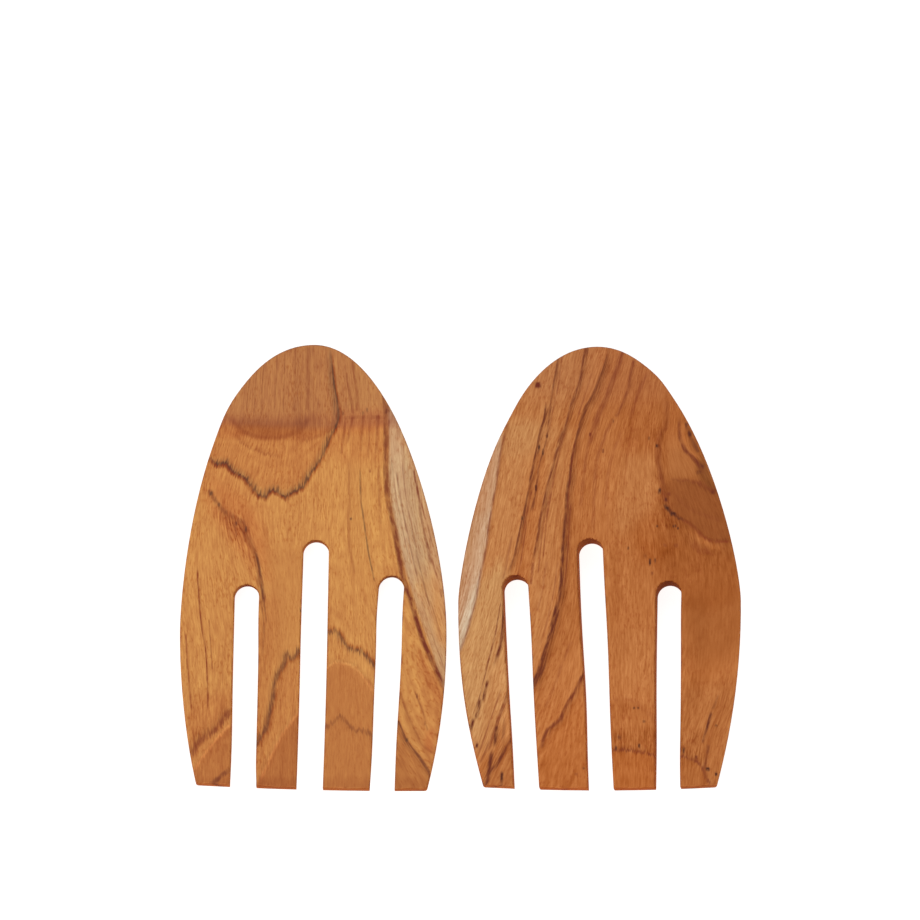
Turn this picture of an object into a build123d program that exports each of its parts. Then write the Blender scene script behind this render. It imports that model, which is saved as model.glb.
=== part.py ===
from build123d import *

import os
from dataclasses import dataclass
from math import radians, tan

# A pair of wooden salad hands. Each hand is one piece of board, sawn to a shallow curve along its
# length, with a flat land under the grip end, a hollow palm, a round back and four tines.
# The pair lies on a table with the tines towards -Y: the left hand palm up on its round back, the
# right hand palm down on its land and its tine tips. Millimetres, +Z up, table at z = 0.

# Sizes that both hands share
LENGTH = 190.5  # grip end to tine tips
LAND_LENGTH = 31.8  # flat under the grip end, left from the sawn board
HOLLOW_DEPTH = 6.5  # deepest point of the palm above a table it lies on
MIDDLE_THICKNESS = 10.5  # from that depth up to the middle of the back
TIP_THICKNESS = 6.5  # at the tine ends
GRIP_THICKNESS = 6.0  # at the grip end
SLOT_WIDTH = 10.8  # saw cut, and the drilled hole that it runs into
TIP_CORNER = 1.2  # upright corners of the tine ends
EDGE_EASE = 0.6  # rims of the palm and the back, taken off by sanding

# How the pair lies
PAIR_GAP = 5.0  # between the two widest points
PAIR_STAGGER = 2.1  # the right hand lies this much further from the tine side

# Spare length of a cutting shape past the wood that it trims
OVERRUN = 5.0
# A face is broad, not a sawn wall, where it tilts less than this many degrees from the land
BROAD_TILT = 25


@dataclass(frozen=True)
class Side:
    """One long edge of a hand, seen with the round back up and the grip end away."""

    crown_round: float  # how far the grip end runs flat before it turns down
    flank_round: float  # how far the flank runs straight up from the widest point
    tip_inset: float  # tine corner drawn in from the widest point
    tip_rise: float  # tine corner held back from the tine tips
    tine_width: float  # outer tine at its tip
    slot_splay: float  # the outer slot's round end, further out than its mouth
    slot_length: float  # tine tips to the outer slot's round end


@dataclass(frozen=True)
class Hand:
    """The sizes of one hand, seen with the round back up and the grip end away."""

    width: float
    belly: float  # grip end to the widest point
    left: Side
    right: Side
    tip_rise: float  # middle of the tine line held back from the tine tips
    middle_mouth: float  # middle slot's mouth, to the right of the centre line
    middle_splay: float  # the middle slot's round end, further right than its mouth
    middle_length: float
    saw_slant: float  # degrees that the slots lean to the left towards the back
    saw_lean: float  # degrees that the slots lean to the grip end towards the back


LEFT_HAND = Hand(
    width=111.9,
    belly=122.7,
    left=Side(
        crown_round=33.6,
        flank_round=40.8,
        tip_inset=8.1,
        tip_rise=0.0,
        tine_width=13.2,
        slot_splay=3.7,
        slot_length=91.1,
    ),
    right=Side(
        crown_round=46.6,
        flank_round=23.5,
        tip_inset=7.8,
        tip_rise=2.5,
        tine_width=13.9,
        slot_splay=-1.0,
        slot_length=87.2,
    ),
    tip_rise=0.45,
    middle_mouth=1.0,
    middle_splay=-2.0,
    middle_length=106.2,
    saw_slant=0.0,
    saw_lean=7.5,
)
RIGHT_HAND = Hand(
    width=118.2,
    belly=113.0,
    left=Side(
        crown_round=43.8,
        flank_round=11.5,
        tip_inset=10.5,
        tip_rise=1.3,
        tine_width=13.1,
        slot_splay=3.3,
        slot_length=88.7,
    ),
    right=Side(
        crown_round=38.4,
        flank_round=21.0,
        tip_inset=10.3,
        tip_rise=1.3,
        tine_width=14.5,
        slot_splay=2.0,
        slot_length=86.1,
    ),
    tip_rise=0.0,
    middle_mouth=0.9,
    middle_splay=-2.9,
    middle_length=104.4,
    saw_slant=7.0,
    saw_lean=0.0,
)

# The two arcs that a hand's side view is sawn to, along (length, height above the land)
grip_end = LENGTH / 2
tine_tips = -LENGTH / 2
crease = grip_end - LAND_LENGTH
palm_middle = (crease + tine_tips) / 2
palm_arc = ThreePointArc((tine_tips, 0), (palm_middle, HOLLOW_DEPTH), (crease, 0))
back_arc = ThreePointArc(
    (tine_tips, TIP_THICKNESS),
    (0, HOLLOW_DEPTH + MIDDLE_THICKNESS),
    (grip_end, GRIP_THICKNESS),
)
crest = back_arc.arc_center.Y + back_arc.radius


def saw_hand(sizes, land):
    """Saws one hand whose land lies on the given plane, with its back along the plane's normal."""
    half_width = sizes.width / 2
    belly_y = grip_end - sizes.belly
    sides = ((-1, sizes.left), (1, sizes.right))
    corners = [(way * (half_width - side.tip_inset), tine_tips + side.tip_rise) for way, side in sides]
    crown = (0, grip_end)
    side_view = Plane(origin=land.origin, x_dir=land.y_dir, z_dir=land.x_dir)

    with BuildPart() as hand:
        # The curved blank: a board between the back's arc and the palm's arc
        with BuildSketch(side_view):
            with Locations(back_arc.arc_center):
                Circle(back_arc.radius)
            with Locations((0, crest / 2)):
                Rectangle(LENGTH + 2 * OVERRUN, crest + 2 * OVERRUN, mode=Mode.INTERSECT)
            with Locations(palm_arc.arc_center):
                Circle(palm_arc.radius, mode=Mode.SUBTRACT)
            with Locations((palm_middle, 0)):
                Rectangle(LENGTH, crest, align=(Align.MIN, Align.MAX), mode=Mode.SUBTRACT)
        extrude(amount=half_width + OVERRUN, both=True)

        # The outline, sawn square to the land: a full crown, hips that draw in, a line of tips
        with BuildSketch(land.offset(-OVERRUN)):
            with BuildLine():
                for (way, side), corner in zip(sides, corners):
                    widest = (way * half_width, belly_y)
                    shoulder = (way * half_width, belly_y + side.flank_round)
                    Bezier(crown, (way * side.crown_round, grip_end), shoulder, widest)
                    TangentArc(widest, corner, tangent=(0, -1))
                ThreePointArc(corners[0], (0, tine_tips + sizes.tip_rise), corners[1])
            make_face()
        extrude(amount=crest + 2 * OVERRUN, mode=Mode.INTERSECT)
        fillet(hand.edges().filter_by(Axis.Z).sort_by(Axis.Y)[:2], TIP_CORNER)

        # The slots: each a drilled hole with a straight saw cut to the tine tips
        with BuildSketch(land):
            slots = [(sizes.middle_mouth, sizes.middle_splay, sizes.middle_length)]
            for (way, side), (corner_x, _) in zip(sides, corners):
                mouth = corner_x - way * (side.tine_width + SLOT_WIDTH / 2)
                slots.append((mouth, way * side.slot_splay, side.slot_length))
            for mouth, splay, length in slots:
                end = (mouth + splay, tine_tips + length - SLOT_WIDTH / 2)
                SlotCenterPoint((mouth, tine_tips), end, SLOT_WIDTH)
        across = -tan(radians(sizes.saw_slant))
        along = tan(radians(sizes.saw_lean))
        saw = land.x_dir * across + land.y_dir * along + land.z_dir
        extrude(amount=2 * crest, dir=saw, both=True, mode=Mode.SUBTRACT)

        # Sanded rims of the back and then of the palm, all but the crease where land and palm meet
        for outward in (land.z_dir, -land.z_dir):
            broad = hand.faces().filter_by(lambda face: outward.get_angle(face.normal_at()) < BROAD_TILT)
            chamfer(broad.edges() - hand.edges().filter_by(Axis.X), EDGE_EASE)
    return hand


pair_width = LEFT_HAND.width + PAIR_GAP + RIGHT_HAND.width
left_land = Plane(
    origin=((LEFT_HAND.width - pair_width) / 2, -PAIR_STAGGER / 2, crest),
    x_dir=(-1, 0, 0),
    z_dir=(0, 0, -1),
)
right_land = Plane(origin=((pair_width - RIGHT_HAND.width) / 2, PAIR_STAGGER / 2, 0))

os.makedirs("parts", exist_ok=True)
left_hand = saw_hand(LEFT_HAND, left_land)
left_hand.part.label = "left_hand"
export_step(left_hand.part, "parts/left_hand.step")
right_hand = saw_hand(RIGHT_HAND, right_land)
right_hand.part.label = "right_hand"
export_step(right_hand.part, "parts/right_hand.step")
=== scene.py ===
"""A pair of teak salad hands on a pale floor: the left one palm up, the right one back up.

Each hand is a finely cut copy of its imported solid. The wood's own figure, its growth lines, sapwood
and darker patches, is worked out at every point of that mesh and drawn by the wood's material.
"""

import logging
import math
from collections.abc import Callable
from dataclasses import dataclass
from enum import Enum

import bmesh
import bpy
import numpy as np
from mathutils import Matrix, Vector


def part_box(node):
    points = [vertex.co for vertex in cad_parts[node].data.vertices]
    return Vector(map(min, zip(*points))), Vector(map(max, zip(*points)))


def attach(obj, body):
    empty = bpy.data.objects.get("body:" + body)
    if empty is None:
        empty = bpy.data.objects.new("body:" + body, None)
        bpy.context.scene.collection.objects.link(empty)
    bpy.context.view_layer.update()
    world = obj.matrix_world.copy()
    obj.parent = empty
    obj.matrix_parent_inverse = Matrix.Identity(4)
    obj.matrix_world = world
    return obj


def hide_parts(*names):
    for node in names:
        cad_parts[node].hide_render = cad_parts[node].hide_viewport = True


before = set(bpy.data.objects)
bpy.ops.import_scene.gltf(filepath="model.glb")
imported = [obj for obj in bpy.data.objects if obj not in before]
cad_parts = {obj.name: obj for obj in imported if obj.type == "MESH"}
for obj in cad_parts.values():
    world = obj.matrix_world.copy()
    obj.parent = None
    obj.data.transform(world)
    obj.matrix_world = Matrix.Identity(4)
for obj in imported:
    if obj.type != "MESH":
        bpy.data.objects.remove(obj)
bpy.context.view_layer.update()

LOG = logging.getLogger("salad_hands")
MM = 0.001
# How far from a growth line its own marks may reach, in mm: by itself, and among close neighbours
WIDEST_REACH = 5.0
NARROWEST_REACH = 0.9
# How far round a growth line its marks are worked out, in mm
SEARCH_MARGIN = WIDEST_REACH + 1.0
# A share of a growth line's reach that lies past all its marks
PAST_REACH = 2.0
# One point in this many of a growth line gives its year to the wood round it
YEAR_STEP = 6
# The three vectors that hold a growth line's marks at a point
MARKS = ("place", "look", "wash")
# Noise of 0 to 1 is stretched to this span about zero
NOISE_SPAN = 4.0

Pixel = tuple[float, float]
Colour = tuple[float, float, float]
# Gives a face's height at places along the hand
Height = Callable[[np.ndarray], np.ndarray]
Sockets = dict[str, bpy.types.NodeSocket]


def linear(red: int, green: int, blue: int) -> Colour:
    """Turns a colour of 0 to 255 steps into the renderer's linear values.

    Args:
        red: Red step.
        green: Green step.
        blue: Blue step.

    Returns:
        The three linear values.
    """
    shares = (step / 255 for step in (red, green, blue))
    return tuple(((s + 0.055) / 1.055) ** 2.4 if s > 0.04045 else s / 12.92 for s in shares)


def ease(low: float, high: float, value: np.ndarray) -> np.ndarray:
    """Rises smoothly from 0 at low to 1 at high.

    Args:
        low: Where the rise starts.
        high: Where the rise ends.
        value: The values to ease.

    Returns:
        The eased values.
    """
    share = np.clip((value - low) / (high - low), 0, 1)
    return share * share * (3 - 2 * share)


def read_all(items: bpy.types.bpy_prop_collection, name: str, width: int = 1,
             kind: type = float) -> np.ndarray:
    """Reads a property of all of a mesh's points, faces or corners.

    Args:
        items: The points, faces or corners.
        name: The property.
        width: How many numbers each item has.
        kind: Their type.

    Returns:
        A number for each item, or a row of them.
    """
    values = np.empty(len(items) * width, kind)
    items.foreach_get(name, values)
    return values.reshape(-1, width) if width > 1 else values


@dataclass(frozen=True)
class PhotoView:
    """Where the photograph was taken from, and what one of its pixels spans at the hands.

    Fields: frame_pixels, its frame's side; middle, the pixel that shows the target; pixel_span, at the
    target; elevation, distance and target of the camera; sensor_width in mm; surface_steps, the tries
    that it takes to find a pixel's place on a curved face.
    """

    frame_pixels: int = 920
    middle: Pixel = (460.0, 566.4)
    pixel_span: float = 0.4205 * MM
    elevation: float = math.radians(77.5)
    distance: float = 2.4
    target: Vector = Vector((0, 0, 8.5 * MM))
    sensor_width: float = 36.0
    surface_steps: int = 4

    def up(self) -> Vector:
        """Gives the picture's upward direction."""
        return Vector((0, math.sin(self.elevation), math.cos(self.elevation)))

    def eye(self) -> Vector:
        """Gives the camera's place."""
        back = Vector((0, -math.cos(self.elevation), math.sin(self.elevation)))
        return self.target + back * self.distance

    def on_surface(self, pixel: Pixel, height_at: Height) -> tuple[float, float]:
        """Finds the point of a hand's upper face that a pixel shows.

        Args:
            pixel: Across and down in the photograph's frame.
            height_at: Height of the upper face at a place along the hand.

        Returns:
            Across and along, in metres.
        """
        across, down = pixel[0] - self.middle[0], pixel[1] - self.middle[1]
        seen = self.target + Vector((across * self.pixel_span, 0, 0)) - self.up() * (down * self.pixel_span)
        eye = self.eye()
        along = seen.y
        for _ in range(self.surface_steps):
            share = (eye.z - float(height_at(along))) / (eye.z - seen.z)
            along = eye.y + share * (seen.y - eye.y)
        return eye.x + share * (seen.x - eye.x), along

    def make_camera(self) -> bpy.types.Object:
        """Makes the scene's camera.

        Returns:
            The camera's object.
        """
        data = bpy.data.cameras.new("photo_camera")
        data.sensor_width = self.sensor_width
        data.lens = self.sensor_width * self.distance / (self.frame_pixels * self.pixel_span)
        camera = bpy.data.objects.new("photo_camera", data)
        drop = (self.middle[1] - self.frame_pixels / 2) * self.pixel_span
        camera.location = self.eye()
        look = self.target + self.up() * drop - self.eye()
        camera.rotation_euler = look.to_track_quat("-Z", "Y").to_euler()
        bpy.context.scene.collection.objects.link(camera)
        bpy.context.scene.camera = camera
        return camera


class Up(Enum):
    """Which face of a hand looks up."""

    PALM = 1
    BACK = -1


@dataclass(frozen=True)
class Arc:
    """A broad face's sawn arc, seen from the side."""

    middle_along: float
    middle_height: float
    radius: float
    rounded_up: bool

    @classmethod
    def through(cls, along: np.ndarray, height: np.ndarray) -> "Arc":
        """Fits the arc that a face's points lie on.

        Args:
            along: Places along the hand.
            height: Their heights.

        Returns:
            The arc.
        """
        terms = np.column_stack((2 * along, 2 * height, np.ones_like(along)))
        middle_along, middle_height, rest = np.linalg.lstsq(terms, along**2 + height**2, rcond=None)[0]
        radius = math.sqrt(rest + middle_along**2 + middle_height**2)
        return cls(middle_along, middle_height, radius, bool(height.mean() > middle_height))

    def height(self, along: np.ndarray) -> np.ndarray:
        """Gives the arc's height at places along the hand."""
        rise = np.sqrt(np.maximum(self.radius**2 - (along - self.middle_along) ** 2, 0))
        return self.middle_height + (rise if self.rounded_up else -rise)


@dataclass(frozen=True)
class GrowthLine:
    """A line where one year's wood meets the next, traced on the photograph in its pixels.

    Fields: points along the line; ink, how dark it is, or pale where negative; half its width and
    ragged, how far the fibres pull it about, in mm; ink_end and half_end, where its end differs from its
    start; wash, a shade that fades out beside it, on its left where positive and on its right where
    negative, over reach mm; fringe, a red edge on its other side; red, from grey brown at 0 to red brown
    at 1; year, its place in the order of growth; taper, the share over which each end dies out.
    """

    points: tuple[Pixel, ...]
    ink: float
    half: float = 0.4
    ink_end: float | None = None
    half_end: float | None = None
    ragged: float = 0.8
    wash: float = 0.01
    reach: float = 2.5
    fringe: float = 0.0
    red: float = 0.5
    year: float | None = None
    taper: float = 0.05

    def marks(self, signed: np.ndarray, share: np.ndarray, heading: np.ndarray, limit: float) -> np.ndarray:
        """Gives what draws the line at points near it.

        Args:
            signed: Each point's distance from the line in mm, positive on its left.
            share: The share of the line where the point is nearest.
            heading: The line's sideways heading there.
            limit: How far the line's marks may reach, in mm.

        Returns:
            A row for each point, with the three vectors that MARKS names.
        """
        taper = ease(0, self.taper, share) * ease(0, self.taper, 1 - share)
        ink_end = self.ink if self.ink_end is None else self.ink_end
        half_end = self.half if self.half_end is None else self.half_end
        level = np.ones(len(share))
        place = (signed, np.abs(signed) / limit, self.ragged * heading)
        ink = (self.ink + (ink_end - self.ink) * share) * taper
        look = (ink, self.half + (half_end - self.half) * share, self.red * level)
        wash = (self.wash * taper, self.reach * level, self.fringe * taper)
        return np.column_stack((*place, *look, *wash))


def thread(*points: Pixel, ink: float = 0.45, half: float = 0.3, red: float = 0.8) -> GrowthLine:
    """Traces a thin line that runs with the fibres."""
    return GrowthLine(points, ink=ink, half=half, red=red)


def dash(*points: Pixel, ink: float, half: float = 0.4, red: float = 0.8) -> GrowthLine:
    """Traces a short line that dies out at both ends."""
    return GrowthLine(points, ink=ink, half=half, red=red, taper=0.3)


@dataclass(frozen=True)
class Fleck:
    """A short dark fleck along the fibres, placed on the photograph in its pixels.

    Fields: place of its middle; length and half its width in mm; ink, how dark; red, from grey brown at
    0 to red brown at 1.
    """

    place: Pixel
    length: float = 2.0
    half: float = 0.45
    ink: float = 0.9
    red: float = 0.1

    def as_line(self, view: PhotoView) -> GrowthLine:
        """Makes the fleck a short growth line."""
        (x, y), rise = self.place, self.length * MM / view.pixel_span / 2
        return dash((x, y - rise), (x, y + rise), ink=self.ink, half=self.half, red=self.red)


@dataclass(frozen=True)
class Patch:
    """A part of the wood with its own tone, outlined on the photograph in its pixels.

    Fields: outline; blur of its edge in mm; light, how much lighter or darker; red, how much redder, or
    more golden where negative; sap, how far it is pale sapwood; calm, how far its fibres are smoothed
    out; dull, how far it is greyed; fade, the two rows of pixels between which it sets in from above.
    """

    outline: tuple[Pixel, ...]
    blur: float
    light: float = 0.0
    red: float = 0.0
    sap: float = 0.0
    calm: float = 0.0
    dull: float = 0.0
    fade: tuple[float, float] | None = None


@dataclass(frozen=True)
class Figure:
    """The figure of one hand's wood, and how it runs on through the board's thickness.

    Fields: lines; flecks; patches; guides, traced runs from left to right that the fibres follow;
    drift_across and drift_along, how far the figure shifts for each mm of depth.
    """

    lines: tuple[GrowthLine, ...]
    flecks: tuple[Fleck, ...]
    patches: tuple[Patch, ...]
    guides: tuple[tuple[Pixel, ...], ...]
    drift_across: float
    drift_along: float


class LineChannel(Enum):
    """Sets of growth lines, so that lines close together lie in different sets."""

    FIRST = "line_a"
    SECOND = "line_b"
    THIRD = "line_c"
    FOURTH = "line_d"


def along_fibres(place: np.ndarray, guides: list[np.ndarray]) -> np.ndarray:
    """Straightens the fibres' run between guides.

    Args:
        place: Across and along, in mm.
        guides: The guides' points from left to right, each from the grip end to the tine tips.

    Returns:
        Places across the straightened fibres.
    """
    across, along = place.T
    runs = [np.interp(along, guide[::-1, 1], guide[::-1, 0]) for guide in guides]
    shifts = [guide[:, 0].mean() - run for guide, run in zip(guides, runs)]
    shift = shifts[0]
    for k in range(len(guides) - 1):
        share = np.clip((across - runs[k]) / (runs[k + 1] - runs[k]), 0, 1)
        shift = shift + share * (shifts[k + 1] - shifts[k])
    return across + shift


def smooth_run(points: np.ndarray, steps: int = 4) -> np.ndarray:
    """Rounds a traced run of points with a spline that passes through them.

    Args:
        points: The traced points.
        steps: New points on each stretch.

    Returns:
        The rounded run.
    """
    padded = np.vstack((2 * points[0] - points[1], points, 2 * points[-1] - points[-2]))
    before, start, end, after = padded[:-3], padded[1:-2], padded[2:-1], padded[3:]
    run = []
    for share in np.linspace(0, 1, steps, endpoint=False):
        bend = 2 * before - 5 * start + 4 * end - after
        twist = 3 * start - before - 3 * end + after
        run.append(start + 0.5 * share * (end - before + share * (bend + share * twist)))
    return np.vstack((np.stack(run, axis=1).reshape(-1, 2), points[-1:]))


def near_run(place: np.ndarray, run: np.ndarray, margin: float) -> np.ndarray:
    """Finds the places inside a run's box with a margin round it.

    Args:
        place: Places, across and along.
        run: The run's points.
        margin: Width of the margin.

    Returns:
        The numbers of those places.
    """
    low, high = run.min(axis=0) - margin, run.max(axis=0) + margin
    return np.flatnonzero(np.all((place > low) & (place < high), axis=1))


def to_stretches(place: np.ndarray, run: np.ndarray) -> tuple[np.ndarray, np.ndarray, np.ndarray]:
    """Measures from each place to a run of points.

    Args:
        place: Places, across and along.
        run: The run's points.

    Returns:
        The distance, positive on the run's left, the share of the run where it is nearest, and the
        run's sideways heading there.
    """
    start, step = run[:-1], np.diff(run, axis=0)
    length = np.linalg.norm(step, axis=1)
    best = np.full(len(place), np.inf)
    signed, share, heading = np.zeros(len(place)), np.zeros(len(place)), np.zeros(len(place))
    for k in range(len(step)):
        offset = place - start[k]
        along = np.clip(offset @ step[k] / length[k] ** 2, 0, 1)
        gap = np.linalg.norm(offset - along[:, None] * step[k], axis=1)
        nearer = gap < best
        best[nearer] = gap[nearer]
        side = np.where(step[k][0] * offset[:, 1] - step[k][1] * offset[:, 0] >= 0, 1.0, -1.0)
        signed[nearer] = (side * gap)[nearer]
        share[nearer] = (k + along[nearer]) / len(step)
        heading[nearer] = step[k][0] / length[k]
    return signed, share, heading


def share_out(runs: list[np.ndarray]) -> tuple[list[LineChannel], list[float]]:
    """Puts each run of points in the set where it lies furthest from the others.

    Args:
        runs: The growth lines' points, in mm.

    Returns:
        Each run's set, and how far from the run its own marks may reach.
    """
    sets: dict[LineChannel, list[int]] = {channel: [] for channel in LineChannel}
    limits = [WIDEST_REACH] * len(runs)
    chosen = []
    for k, run in enumerate(runs):
        gaps = {channel: [np.linalg.norm(run[:, None] - runs[other][None], axis=2).min() for other in members]
                for channel, members in sets.items()}
        best = max(gaps, key=lambda channel: min((*gaps[channel], 2 * WIDEST_REACH)))
        for other, gap in zip(sets[best], gaps[best]):
            reach = max(gap / 2, NARROWEST_REACH)
            limits[k], limits[other] = min(limits[k], reach), min(limits[other], reach)
        sets[best].append(k)
        chosen.append(best)
    return chosen, limits


def inside(place: np.ndarray, outline: np.ndarray) -> np.ndarray:
    """Tells which places lie inside a closed outline.

    Args:
        place: Places, across and along.
        outline: The outline's corners.

    Returns:
        True where a place is inside.
    """
    found = np.zeros(len(place), bool)
    for (ax, ay), (bx, by) in zip(outline, np.roll(outline, -1, axis=0)):
        spans = (ay > place[:, 1]) != (by > place[:, 1])
        if ay != by:
            crossing = ax + (place[:, 1] - ay) * (bx - ax) / (by - ay)
            found ^= spans & (place[:, 0] < crossing)
    return found


def growth_years(place: np.ndarray, known: np.ndarray, years: np.ndarray) -> np.ndarray:
    """Spreads the growth lines' years over the wood, as a thin plate bent through them.

    Args:
        place: Places, across and along, in mm.
        known: Places with a known year.
        years: Their years.

    Returns:
        The year at each place.
    """
    slack, near_zero = 40.0, 1e-9

    def bend(a: np.ndarray, b: np.ndarray) -> np.ndarray:
        """Gives the plate's bending term between two sets of places."""
        square = ((a[:, None, :] - b[None, :, :]) ** 2).sum(axis=2)
        return square * np.log(square + near_zero)

    count = len(known)
    flat = np.column_stack((np.ones(count), known))
    matrix = np.block([[bend(known, known) + slack * np.eye(count), flat], [flat.T, np.zeros((3, 3))]])
    weights = np.linalg.solve(matrix, np.concatenate((years, np.zeros(3))))
    return bend(place, known) @ weights[:count] + weights[count] + place @ weights[count + 1 :]


@dataclass(frozen=True)
class Marking:
    """Works out a figure at a hand's points.

    Fields: figure; view, which it was traced in; top, height of the hand's upper face; place, where each
    point lies in the figure, across and along, in mm.
    """

    figure: Figure
    view: PhotoView
    top: Height
    place: np.ndarray

    def traced(self, pixels: tuple[Pixel, ...]) -> np.ndarray:
        """Places traced pixels on the hand's upper face, in mm."""
        return np.array([self.view.on_surface(pixel, self.top) for pixel in pixels]) / MM

    def grain(self) -> np.ndarray:
        """Gives each point's place across the fibres."""
        return along_fibres(self.place, [smooth_run(self.traced(guide)) for guide in self.figure.guides])

    def growth(self) -> tuple[dict[str, np.ndarray], np.ndarray]:
        """Works out the growth lines and the years between them.

        Returns:
            The attributes that hold each set of lines, and each point's year.
        """
        lines = self.figure.lines + tuple(fleck.as_line(self.view) for fleck in self.figure.flecks)
        runs = [smooth_run(self.traced(line.points)) for line in lines]
        channels, limits = share_out(runs)
        stored = {}
        for channel in LineChannel:
            nearest = np.full(len(self.place), np.inf)
            rows = np.zeros((len(self.place), 3 * len(MARKS)))
            rows[:, 1] = PAST_REACH
            for run, line, chosen, limit in zip(runs, lines, channels, limits):
                if chosen is not channel:
                    continue
                close = near_run(self.place, run, SEARCH_MARGIN)
                signed, share, heading = to_stretches(self.place[close], run)
                gap = np.abs(signed)
                nearer = gap < nearest[close]
                nearest[close[nearer]] = gap[nearer]
                rows[close[nearer]] = line.marks(signed, share, heading, limit)[nearer]
            for k, name in enumerate(MARKS):
                stored[f"{channel.value}_{name}"] = rows[:, 3 * k : 3 * k + 3]
        dated = [(run[::YEAR_STEP], line.year) for run, line in zip(runs, lines) if line.year is not None]
        known = np.vstack([run for run, _ in dated])
        years = np.concatenate([np.full(len(run), year) for run, year in dated])
        return stored, growth_years(self.place, known, years)

    def tones(self) -> np.ndarray:
        """Works out the patches.

        Returns:
            Each point's light, red, sap, calm and dull.
        """
        tones = np.zeros((len(self.place), 5))
        for patch in self.figure.patches:
            outline = self.traced(patch.outline)
            closed = smooth_run(np.vstack((outline, outline[:1])))
            close = near_run(self.place, closed, patch.blur)
            signed, _, _ = to_stretches(self.place[close], closed)
            within = np.where(inside(self.place[close], closed[:-1]), np.abs(signed), -np.abs(signed))
            share = ease(-patch.blur, patch.blur, within)
            if patch.fade:
                start, full = self.traced(tuple((patch.outline[0][0], row) for row in patch.fade))[:, 1]
                share = share * ease(start, full, self.place[close, 1])
            tone = np.array((patch.light, patch.red, patch.sap, patch.calm, patch.dull))
            tones[close] += share[:, None] * tone
        return tones


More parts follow.
